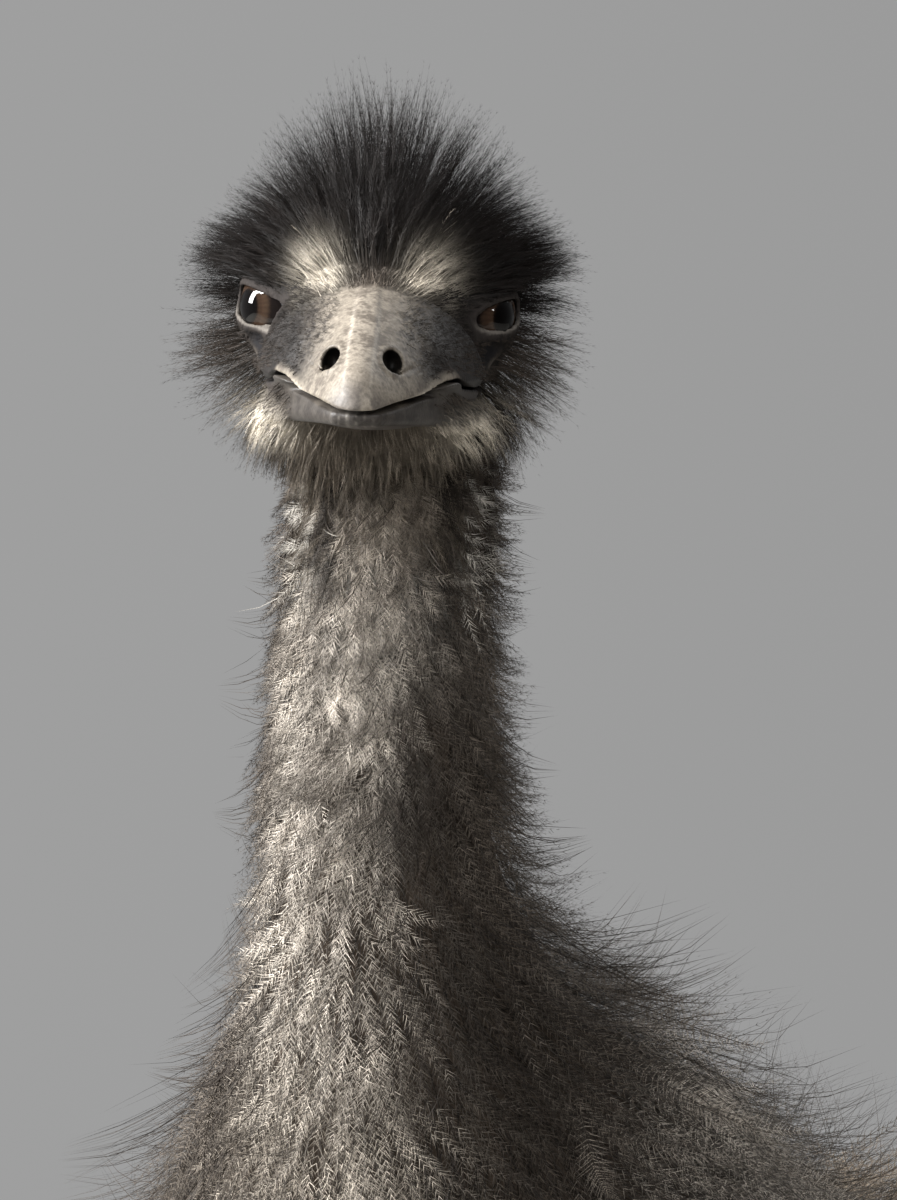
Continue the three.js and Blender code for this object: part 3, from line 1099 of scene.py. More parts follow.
    def with_bill_relief(self, body: Array, x: Array, y: Array, z: Array) -> Array:
        """Adds the bill's grains and the band along its ridge, the nostrils and the mouth's crease.

        Args:
            body: the head's field so far.
            x: across the head, in mm.
            y: along the head.
            z: up.

        Returns:
            The field with the bill's relief.
        """
        side = np.abs(x)
        along = y + BILL_TIP_AHEAD
        over = z - self.mouth_level(y)
        wide, long = self.grain
        grainy = smooth_step(4, 10, side) * smooth_step(24, 38, along + 0.3 * side) * smooth_step(2, 6, over)
        grains = np.sin(2 * math.pi * (x / wide + 0.5 * np.sin(y / long)))
        grains = grains * np.sin(2 * math.pi * (y / long + 0.5 * np.sin(z / wide)))
        body = body - self.grain_height * grainy * grains * np.cos(z * 1.9 + 2 * np.sin(x / 2.3))
        half_band = 3.9 - 1.5 * smooth_step(10, 60, along)
        band = smooth_step(half_band + 1.7, half_band - 0.2, side) * smooth_step(2, 10, along)
        body = body - 0.6 * (band * smooth_step(72, 50, along) * smooth_step(-19, -15, z))
        body = self.with_nostrils(body, *off_nostril(x, y, z))
        fade = smooth_step(-24, -18, y) * smooth_step(4, -8, y)
        return body + 1.3 * smooth_step(1.1, 0.4, np.abs(over)) * fade

    def with_nostrils(self, body: Array, out: Array, back: Array, up: Array) -> Array:
        """Opens the nostrils, each with a raised lip and a groove that trails from it.

        Args:
            body: the head's field so far.
            out: how far out places lie from the nearer nostril.
            back: how far back.
            up: how far up.

        Returns:
            The field with its nostrils.
        """
        hole = (oval(NOSTRIL_HALF, out, back, up) - 1) * NOSTRIL_HALF[0]
        lip = (oval(NOSTRIL_LIP_HALF, out, back, up) - 1) * NOSTRIL_LIP_HALF[0]
        body = smooth_cut(body - 0.5 * smooth_step(1.2, 0.0, np.abs(lip)), hole, 0.8)
        groove = np.abs(up + 2.6 - 0.25 * (out - 2.0))
        trail = smooth_step(0.9, 0.1, groove) * smooth_step(1.5, 3.5, out) * smooth_step(9, 5, out)
        return body + 0.7 * trail * smooth_step(16, 8, np.abs(back - 3))

    def parted(self) -> tuple[Shell, Shell, Shell]:
        """Parts the head.

        Returns:
            The skin behind the feather edge, the upper bill and the lower bill, in the head's frame.
        """
        neck = neck_top_body().shell(110, 96).moved(into_head)
        coarser = when_quick()
        around = Field(*self.SKIN_BOX, self.skin_step * coarser)
        skin = self.whole(around, neck)
        ahead = self.ahead_of_edge(around.y, around.z)
        skin = np.maximum(skin + 0.3 * smooth_step(-1.2, -0.2, ahead), ahead - 1.2)
        front = Field(*self.BILL_BOX, self.bill_step * coarser)
        bill = np.maximum(self.whole(front, None), -self.ahead_of_edge(front.y, front.z))
        over = front.z - self.mouth_level(front.y)
        half_gap = MOUTH_GAP / 2 * (1 - 0.45 * smooth_step(-46, -24, front.y))
        upper = smooth_cut(bill, over - half_gap, 0.5)
        lower = smooth_cut(bill, -over - half_gap, 0.5)
        return around.surface(skin), front.surface(upper), front.surface(lower)


def face_tone(head: Head, points: Array) -> Array:
    """Colours the skin and bristle beds of the head.

    Args:
        head: the head's shape, whose features the colours follow.
        points: places in the head's frame.

    Returns:
        Linear colours, one row for each point.
    """
    x, y, z = points.T
    gap, far = head.opening.measure(x, y, z)
    spread, off = head.pouch_spread(x, y, z)
    over = z - head.mouth_level(y)
    by_eye = smooth_step(EYEBALL + 10, EYEBALL + 5, far)
    # Darker all round each eye: the lids' own dark skin, with painted shade of the overhanging brow and the
    # socket
    ring = smooth_step(11, 5, gap) * by_eye
    lid = smooth_step(3.0, 1.2, gap) * by_eye
    rim = smooth_step(0.7, 0.2, np.abs(gap)) * by_eye * smooth_step(1, -4, z)
    # Below and behind each eye a near-black wedge, mottled darker in its creases: partly the skin's own dark,
    # partly painted shade
    beneath = smooth_step(17, 22, np.abs(x)) * smooth_step(-3, -7, z) * smooth_step(-27, -22, z)
    crease = smooth_step(-0.2, 0.5, mottle(points, 2.6, 7.0))
    by_pouch = smooth_step(5, 3, off) * smooth_step(0.9, 2.4, gap)
    pouch_edge = bell((spread - 1.16) / 0.16) * by_pouch
    # Painted shade: a near-black line on the skin along the mouth behind the bill, for the shadow in the gape
    gape = smooth_step(1.2, 0.6, np.abs(over)) * smooth_step(-30, -22, y) * smooth_step(6, -4, y)
    return layered(
        "#3a3430",
        (0.6 * head_coat_tone(points), 0.7),
        (lores_tone(points), on_lores(points)),
        # dark lid skin with painted shade of brow and socket round the eyes
        ("#1a1817", ring * 0.9),
        ("#2a2624", lid * 0.8),
        ("#69645e", rim * 0.7),
        # near-black wedge below the eyes, partly painted shade
        (layered("#1f1b18", ("#0f0d0c", crease)), beneath * smooth_step(0.7, 1.6, gap) * 0.9),
        ("#151415", smooth_step(1.0, 0.75, spread) * by_pouch),
        ("#45403b", pouch_edge * smooth_step(-10, -14, z)),
        # painted shade along the gape
        ("#0f0c0b", gape),
    )


def on_lores(points: Array) -> Array:
    """How far points lie on the short-bristled part of the face, ahead of the eyes and below the brows."""
    y, z = points[..., 1], points[..., 2]
    return smooth_step(-8, -20, y) * smooth_step(12, 8, z) * smooth_step(-26, -20, z)


def lores_tone(points: Array) -> Array:
    """Colours the stippled skin between bill and eyes: pale by the ridge, black-brown by the lids.

    Args:
        points: places in the head's frame.

    Returns:
        Linear colours.
    """
    side = np.abs(points[..., 0])
    stipple = smooth_step(-0.15, 0.45, mottle(points, 3.4, 2.0) + 0.5 * mottle(points, 1.7, 5.0))
    return layered(
        "#7d756a",
        ("#544e47", smooth_step(7, 16, side)),
        ("#171412", smooth_step(13, 23, side)),
        ("#211d1b", 0.75 * stipple * smooth_step(4, 13, side)),
    )


def bill_tone(head: Head, points: Array) -> Array:
    """Colours the horn of both halves, with painted shade, near black, along the mouth where they meet.

    Args:
        head: the head's shape.
        points: places in the head's frame.

    Returns:
        Linear colours, one row for each point.
    """
    along = points[:, 1] + BILL_TIP_AHEAD
    over = points[:, 2] - head.mouth_level(points[:, 1])
    # Half width of the painted shade: a near-black band on both halves along the mouth, wider towards the
    # gape
    inside = 0.45 + 0.45 * smooth_step(48, 62, along)
    return layered(
        upper_bill_tone(head, points),
        (lower_bill_tone(head, points), smooth_step(-0.2, -0.8, over)),
        # painted shade along the mouth
        ("#0f0c0b", smooth_step(0.2, 0.0, np.abs(over) - inside) * smooth_step(4, 9, along)),
    )


def upper_bill_tone(head: Head, points: Array) -> Array:
    """Colours the upper half: pale and mottled, darker at the tip and towards the lores, with painted
    highlights along the ridge band and the cutting edge and painted shade in the nostrils.

    Args:
        head: the head's shape.
        points: places in the head's frame.

    Returns:
        Linear colours, one row for each point.
    """
    x, y, z = points.T
    side = np.abs(x)
    along = y + BILL_TIP_AHEAD
    over = z - head.mouth_level(y)
    speckle = smooth_step(-0.2, 0.5, mottle(points, 5.2, 1.0) + 0.6 * mottle(points, 1.7, 4.0))
    above_edge = smooth_step(1.5, 4.5, over + 6 * smooth_step(50, 64, along))
    lores = smooth_step(26, 50, along + 0.6 * side) * smooth_step(4, 11, side) * above_edge
    # Painted shade: the openings of the nostrils are painted near black, as the shadow inside them
    hole = oval(NOSTRIL_HALF, *off_nostril(x, y, z))
    # Painted highlight: pale lines along both edges of the raised band on the ridge
    ridge_highlight = bell((side - 4.0) / 0.5) * smooth_step(60, 30, along) * smooth_step(2, 6, over)
    nail = smooth_step(12, 3, along + 0.25 * over) * smooth_step(-0.2, 0.5, mottle(points, 9.0, 0.6) + 0.6)
    # Painted highlight: a pale band along the upper bill's cutting edge, just above the mouth
    edge = smooth_step(2.4, 1.0, np.abs(over)) * smooth_step(6, 16, along) * smooth_step(56, 40, along)
    rear = smooth_step(6, 0, head.ahead_of_edge(y, z)) * smooth_step(-3, 2, z)
    return layered(
        "#6c655b",
        ("#7f776c", smooth_step(10, 3, side)),
        ("#453e38", speckle * smooth_step(2, 16, along) * 0.7),
        (lores_tone(points), lores),
        # painted shade in the nostrils
        ("#0b0908", smooth_step(1.1, 0.98, hole)),
        ("#a19a8f", ridge_highlight * 0.35),
        ("#4d4844", nail * 0.85),
        # painted highlight along the cutting edge
        ("#a59d90", edge * 0.7 * smooth_step(25, 18, side)),
        (0.7 * head_coat_tone(points), rear),
    )


def lower_bill_tone(head: Head, points: Array) -> Array:
    """Colours the lower half: dark and blotched, streaked beneath the tip, with a pale lip.

    Args:
        head: the head's shape.
        points: places in the head's frame.

    Returns:
        Linear colours, one row for each point.
    """
    x, y, z = points.T
    side = np.abs(x)
    along = y + BILL_TIP_AHEAD
    over = z - head.mouth_level(y)
    stripe = smooth_step(0.2, 0.9, np.cos(2 * math.pi * x / 2.6)) * smooth_step(9, 5, side)
    blotches = smooth_step(-0.2, 0.5, mottle(points, 9.0, 3.0) + 0.6 * mottle(points, 2.6, 1.0))
    lip = smooth_step(1.7, 0.9, np.abs(over)) * smooth_step(14, 24, along) * smooth_step(66, 50, along)
    return layered(
        "#36322e",
        ("#3a3633", smooth_step(10, 5, side) * smooth_step(26, 14, along)),
        ("#6e6963", stripe * smooth_step(30, 18, along) * 0.5),
        ("#292522", 0.8 * blotches),
        ("#6b645b", 0.5 * lip * smooth_step(23, 16, side)),
        ("#38332e", smooth_step(20, 28, side) * smooth_step(-2, -6, over)),
        ("#2d2825", smooth_step(58, 74, along) * smooth_step(-8, -3, over)),
    )


def ankle_of(foot: Array) -> Array:
    """Finds the ankle, which the two bones' lengths put behind the line from knee to foot.

    Args:
        foot: the foot joint.

    Returns:
        The ankle's place along the bird and its height.
    """
    knee = np.array([-KNEE_AHEAD, KNEE_HEIGHT])
    joint = foot[1:]
    span = np.linalg.norm(knee - joint)
    up = (knee - joint) / span
    along = (TARSUS**2 - SHIN**2 + span**2) / (2 * span)
    behind = math.sqrt(TARSUS**2 - along**2)
    return joint + up * along + np.array([up[1], -up[0]]) * behind


@dataclass
class Leg:
    """One leg: feathered thigh, bare shank and tarsus, and a foot of three toes.

    A scute is one plate down the front of the shank or along the top of a toe, told by its length in
    mm, and the scale is the width of the small ones round the rest.
    """

    side: Side
    scute: float = 12.5
    toe_scute: float = 7.6
    scale: float = 4.2

    def __post_init__(self) -> None:
        """Places the joints."""
        way = self.side.value
        self.foot = np.array([way * FOOT_OUT, -FEET_AHEAD - way * FOOT_STEP, FOOT_JOINT])
        self.knee = np.array([way * KNEE_OUT, -KNEE_AHEAD, KNEE_HEIGHT])
        self.ankle = np.array([way * (KNEE_OUT + FOOT_OUT) / 2, *ankle_of(self.foot)])

    def on_shin(self, share: float) -> tuple[float, ...]:
        """A place between knee and ankle."""
        return tuple(self.knee + (self.ankle - self.knee) * share)

    def on_tarsus(self, share: float) -> tuple[float, ...]:
        """A place between ankle and foot joint."""
        return tuple(self.ankle + (self.foot - self.ankle) * share)

    def thigh(self) -> Loft:
        """The feathered thigh, with its coat's depth.

        Returns:
            The body.
        """
        return Loft(
            [
                Station(self.on_shin(0.02), 70, 104, 90, 26),
                Station(self.on_shin(0.24), 76, 104, 88, 27),
                Station(self.on_shin(0.46), 64, 82, 68, 25),
                Station(self.on_shin(0.66), 42, 50, 42, 20),
                Station(self.on_shin(0.84), 26, 30, 27, 10),
            ],
            caps=(0.12, 0.12),
            relief=locks(4, 6, 13),
        )

    def bare(self) -> Loft:
        """Shank and tarsus, down to the foot joint.

        Returns:
            The body.
        """
        return Loft(
            [
                Station(self.on_shin(0.66), 17, 20, 19),
                Station(self.on_shin(0.86), 16.5, 19, 19),
                Station(self.on_shin(0.96), 21, 25, 23),
                Station(self.on_tarsus(0.04), 22, 25, 23),
                Station(self.on_tarsus(0.16), 15.5, 20, 17),
                Station(self.on_tarsus(0.5), 13.5, 17, 14),
                Station(self.on_tarsus(0.86), 15, 18, 14),
                Station(self.on_tarsus(0.97), 20, 19, 18),
                Station(self.on_tarsus(1.06), 20, 18, 18),
            ],
            caps=(0.04, 0.04),
        )

    def scales(self, body: Loft, pitch: float, front: float) -> Relief:
        """Overlapping plates along one side of a bare limb, and small scales round the rest.

        Args:
            body: the limb.
            pitch: length of one plate.
            front: the angle of the side that carries the plates.

        Returns:
            The relief, in mm.
        """
        steps = np.linalg.norm(np.diff(body.table[:, 0:3], axis=0), axis=1)
        travelled = np.concatenate([[0], np.cumsum(steps)])

        def relief(way: Array, angle: Array) -> Array:
            """Plates and scales at each point.

            Args:
                way: shares of the way along the limb.
                angle: angles round it.

            Returns:
                Millimetres by which the surface stands out.
            """
            distance = np.interp(way, np.linspace(0, 1, len(travelled)), travelled)
            radius = body.rows(way)[:, 12]
            off = turn_between(angle, front)
            plated = smooth_step(1.25, 0.95, off)
            share = ((distance + 2.0 * off**2) / pitch) % 1.0
            plate = 0.3 + 0.8 * share - 1.3 * smooth_step(0.8, 0.97, share)
            plate = plate - 0.5 * smooth_step(0.12, 0.0, share)
            slanted = angle * radius / self.scale + 0.5 * distance / self.scale
            round_scale = np.cos(2 * math.pi * distance / self.scale) * np.cos(2 * math.pi * slanted)
            small = 0.32 * np.abs(round_scale) - 0.1
            return plated * plate + (1 - plated) * small

        return relief

    def toes(self) -> list[tuple[str, float, float, float]]:
        """Each toe's name, splay in degrees, length and size.

        Returns:
            A name and three measures for each toe.
        """
        way = self.side.value
        return [
            ("middle", 0.0, MIDDLE_TOE, 1.0),
            ("outer", way * TOE_SPLAY, SIDE_TOE, 0.84),
            ("inner", -way * TOE_SPLAY, SIDE_TOE, 0.84),
        ]

    def along_toe(self, splay: float) -> Callable[[float, float], tuple[float, float, float]]:
        """Places along a toe.

        Args:
            splay: degrees by which the toe points aside.

        Returns:
            What turns a distance ahead of the foot joint and a height into a place.
        """
        x, y, _ = self.foot
        out, ahead = math.sin(math.radians(splay)), math.cos(math.radians(splay))
        return lambda distance, height: (x + out * distance, y - ahead * distance, height)

    def toe(self, splay: float, length: float) -> Loft:
        """A toe from its claw back up to the foot joint, padded beneath.

        Args:
            splay: degrees by which it points aside.
            length: from the foot joint, in mm.

        Returns:
            The body.
        """
        at = self.along_toe(splay)
        return Loft(
            [
                Station(at(length + 4, 9), 9.5, 8, 11),
                Station(at(length * 0.8, 12), 13, 10.5, 14),
                Station(at(length * 0.64, 12.5), 12, 10, 13.5),
                Station(at(length * 0.47, 16), 14.5, 12, 17),
                Station(at(length * 0.3, 21), 14.5, 13, 19),
                Station(at(length * 0.12, 32), 17.5, 16, 19),
                Station(at(-2, 50), 19, 18, 18),
            ],
            caps=(0.1, 0.1),
        )

    def claw(self, splay: float, length: float, size: float) -> Loft:
        """A claw, from its point back into the toe.

        Args:
            splay: degrees by which its toe points aside.
            length: the toe's length, in mm.
            size: 1 for the middle toe.

        Returns:
            The body.
        """
        at = self.along_toe(splay)
        tip = CLAW * size
        return Loft(
            [
                Station(at(length + tip, 3.4 * size), 1.7 * size, 1.6 * size, 1.6 * size),
                Station(at(length + 0.66 * tip, 7.6 * size), 4 * size, 4 * size, 4.2 * size),
                Station(at(length + 0.2 * tip, 9.6 * size), 6.2 * size, 6 * size, 6 * size),
                Station(at(length - 0.3 * tip, 9.6 * size), 6.4 * size, 6 * size, 6 * size),
            ],
            caps=(0.2, 0.14),
        )

    def flesh(self) -> list[Shell]:
        """Every solid of the leg that the skin covers.

        Returns:
            Their surfaces, in mm.
        """
        bare = self.bare()
        shells = [
            self.thigh().shell(40, 40, rise=0.0),
            bare.shell(330, 40, bumps=self.scales(bare, self.scute, -math.pi / 2)),
        ]
        for _, splay, length, _ in self.toes():
            toe = self.toe(splay, length)
            shells.append(on_floor(toe.shell(84, 24, bumps=self.scales(toe, self.toe_scute, math.pi / 2))))
        x, y, _ = self.foot
        heel = Loft([Station((x, y + back, 12.5), 21, 15, 15) for back in (-24, 2, 28)], caps=(0.5, 0.5))
        shells.append(on_floor(heel.shell(24, 28)))
        return shells


def on_floor(shell: Shell) -> Shell:
    """Flattens what would reach below the floor.

    Args:
        shell: a surface, in mm.

    Returns:
        The same surface, resting on the floor.
    """
    flat = shell.points.copy()
    flat[:, 2] = np.maximum(flat[:, 2], 0.0)
    return Shell(flat, shell.quads, shell.tris)


def united(name: str, shells: Sequence[Shell]) -> bpy.types.Object:
    """Joins overlapping closed shells into one surface with nothing inside it.

    Args:
        name: the piece's name.
        shells: the shells, in mm.

    Returns:
        The joined piece.
    """
    first = piece_of(name, shells[0])
    others = [piece_of(f"{name}_part_{k}", shell) for k, shell in enumerate(shells[1:])]
    for other in others:
        joint = first.modifiers.new(other.name, "BOOLEAN")
        joint.operation = "UNION"
        joint.solver = "MANIFOLD"
        joint.object = other
    depsgraph = bpy.context.evaluated_depsgraph_get()
    joined = bpy.data.meshes.new_from_object(first.evaluated_get(depsgraph))
    first.modifiers.clear()
    first.data = joined
    joined.name = name
    joined.materials.clear()
    for other in others:
        bpy.data.meshes.remove(other.data)
    return first


def eyeball_shell(side: Side) -> Shell:
    """An eyeball with the cornea's slight bulge along its line of sight, in the head's frame.

    Args:
        side: which eye.

    Returns:
        The surface, in the head's frame.
    """
    rings, sides = 72, 72
    sight, level, upright = sight_axes(side)
    polar = np.linspace(0, math.pi, rings + 1)[1:-1]
    turn = np.arange(sides) * (2 * math.pi / sides)
    tilt, around = (a.ravel() for a in np.meshgrid(polar, turn, indexing="ij"))
    half_chord = np.sqrt(np.maximum(CORNEA**2 - (CORNEA_AHEAD * np.sin(tilt)) ** 2, 0))
    cornea = CORNEA_AHEAD * np.cos(tilt) + half_chord
    bulge = np.where(tilt < math.pi / 2, np.maximum(cornea, EYEBALL), EYEBALL)
    flat = np.sin(tilt)[:, None] * (np.cos(around)[:, None] * level + np.sin(around)[:, None] * upright)
    ball = bulge[:, None] * (flat + np.cos(tilt)[:, None] * sight)
    ends = np.array([sight * (CORNEA_AHEAD + CORNEA), -sight * EYEBALL])
    return Shell.of_rings(np.vstack([ball, ends]) + middle_of_eye(side), rings, sides)


def eye_tone(side: Side, points: Array) -> Array:
    """Colours an eyeball: black pupil, brown iris with fine rays, dark rim.

    Args:
        side: which eye.
        points: places in the head's frame.

    Returns:
        Linear colours.
    """
    sight, level, upright = sight_axes(side)
    out = unit(points - middle_of_eye(side))
    across = EYEBALL * np.arccos(np.clip(out @ sight, -1, 1))
    around = np.arctan2(out @ upright, out @ level)
    rays = 0.5 + 0.3 * np.sin(37 * around + 2 * np.sin(5 * around)) + 0.2 * np.sin(71 * around + across)
    band = smooth_step(2.0, 0.0, np.abs(across - 6.8))
    return layered(
        "#211813",
        ("#31261d", rays),
        ("#2e2018", 0.3 * band),
        ("#040303", smooth_step(PUPIL + 0.5, PUPIL, across)),
        ("#100c0b", smooth_step(IRIS, IRIS + 1.8, across)),
    )


@dataclass
class Skin:
    """The one skin of the whole bird, from the lids to the soles."""

    head: Head
    legs: list[Leg]

    def build(self, head_skin: Shell) -> bpy.types.Object:
        """Joins the skin and colours it.

        Args:
            head_skin: the head's skin in the head's own frame.

        Returns:
            The finished piece.
        """
        shells = [torso_body().shell(100, 48, rise=0.0), head_skin.moved(out_of_head)]
        for leg in self.legs:
            shells.extend(leg.flesh())
        piece = united("skin", shells)
        paint(piece, self.tone(points_of(piece)))
        piece.data.materials.append(BARE_SKIN.material())
        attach(piece, "root")
        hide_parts(*flesh_nodes())
        return piece

    def tone(self, points: Array) -> Array:
        """Colours the skin by where it is on the bird.

        Args:
            points: places in mm from the hips.

        Returns:
            Linear colours, one row for each point.
        """
        in_head = into_head(points)
        height = points[:, 2]
        on_neck = smooth_step(-140, -90, in_head[:, 2]) * smooth_step(120, 80, in_head[:, 1])
        in_face = smooth_step(-78, -66, in_head[:, 2]) * smooth_step(90, 60, in_head[:, 1])
        blotches = smooth_step(-0.5, 0.7, mottle(points, 17.0, 1.0))
        return layered(
            "#3d352e",
            ("#77746f", on_neck),
            (layered("#5d564e", ("#3a342f", 0.55 * blotches)), smooth_step(640, 560, height)),
            ("#6a6258", smooth_step(60, 20, height) * 0.5),
            (face_tone(self.head, in_head), in_face),
        )


def flesh_nodes() -> list[str]:
    """The solids that the skin stands for."""
    shown_apart = ("bill_", "eye_", "claw_")
    return sorted(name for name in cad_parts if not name.startswith(shown_apart))


@dataclass
class Bill:
    """The two halves of the bill."""

    head: Head

    def build(self, upper: Shell, lower: Shell) -> list[bpy.types.Object]:
        """Makes both halves of their shells.

        Args:
            upper: the upper half, in the head's frame.
            lower: the lower half.

        Returns:
            The two pieces.
        """
        horn = BILL_HORN.material()
        pieces = []
        for name, shell in (("bill_upper", upper), ("bill_lower", lower)):
            piece = piece_of(f"{name}_horn", shell.moved(out_of_head))
            paint(piece, bill_tone(self.head, shell.points))
            piece.data.materials.append(horn)
            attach(piece, "root")
            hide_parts(name)
            pieces.append(piece)
        return pieces


@dataclass
class Eyes:
    """Both eyeballs."""

    def build(self) -> list[bpy.types.Object]:
        """Makes the two eyeballs, each in its socket.

        Returns:
            The two pieces.
        """
        wet = EYE_WET.material()
        pieces = []
        for side in Side:
            shell = eyeball_shell(side)
            piece = piece_of(f"eyeball_{side.word}", shell.moved(out_of_head))
            paint(piece, eye_tone(side, shell.points))
            piece.data.materials.append(wet)
            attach(piece, "root")
            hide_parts(f"eye_{side.word}")
            pieces.append(piece)
        return pieces


@dataclass
class Claws:
    """The claws of both feet."""

    legs: list[Leg]

    @staticmethod
    def grooves(way: Array, angle: Array) -> Array:
        """Shallow grooves that deepen from the point back to the toe."""
        return 0.22 * np.cos(9 * angle) * way

    def build(self) -> list[bpy.types.Object]:
        """Makes each claw with its worn grooves.

        Returns:
            Six pieces.
        """
        keratin = CLAW_KERATIN.material()
        pieces = []
        for leg in self.legs:
            for word, splay, length, size in leg.toes():
                shell = on_floor(leg.claw(splay, length, size).shell(60, 40, bumps=self.grooves))
                name = f"claw_{word}_{leg.side.word}"
                piece = piece_of(f"{name}_keratin", shell)
                streak = smooth_step(-0.4, 0.7, mottle(shell.points, 6.0, float(length)))
                paint(piece, layered("#1f1b19", ("#4a443e", streak * 0.6)))
                piece.data.materials.append(keratin)
                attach(piece, "root")
                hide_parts(name)
                pieces.append(piece)
        return pieces


def head_plumage_body() -> Loft:
    """The outline of the plumage on crown, brows and cheeks, from the crown's tips to the throat.

    Returns:
        The body, in the head's frame.
    """
    return Loft(
        [
            Station((-4, 12, CROWN_TIP), 14, 16, 15),
            Station((-3, 12, CROWN_TIP - 12), 28, 31, 29),
            Station((-1, 13, CROWN_TIP - 34), 45, 46, 42),
            Station((0, 15, 13), 58, 52, 43),
            Station((0, 18, -21), BROW_HALF_WIDTH, 48, 36),
            Station((0, 24, -43), 53, 40, 42),
            Station((-1, 34, -67), 39, 34, 42),
        ],
        caps=(0.1, 0.12),
        relief=lambda way, angle: 1.6 * np.sin(9 * angle + 5 * way) * np.sin(math.pi * way),
    )


@dataclass(frozen=True)
class PlumeCut:
    """How one kind of feather is cut: a tapering shaft with loose barbs along both sides.

    Joints are the shaft's steps and barbs stand on each side. Widths are in mm, lean and twist in
    degrees, and the other measures are shares: where the barbs begin, are longest and end, how far they
    ruffle, where the tip's colour sets in, and how much painted shade darkens the root, where the coat
    is deepest.
    """

    joints: int
    barbs: int
    shaft: float
    barb_width: float
    lean: float
    bare: float
    fullest: float = 0.35
    ruffle: float = 0.12
    twist: float = 25.0
    tip_from: float = 0.6
    painted_root_shade: float = 0.55
    bare_tip: float = 0.0


@dataclass
class Bunch:
    """Feathers of one cut: where each runs and faces, how long its barbs are, its root and its tones."""

    lines: Array
    facing: Array
    reach: Array
    roots: Array
    stem: Array
    vane: Array
    tip: Array
    tint: Callable[[Array], Array] | None = None


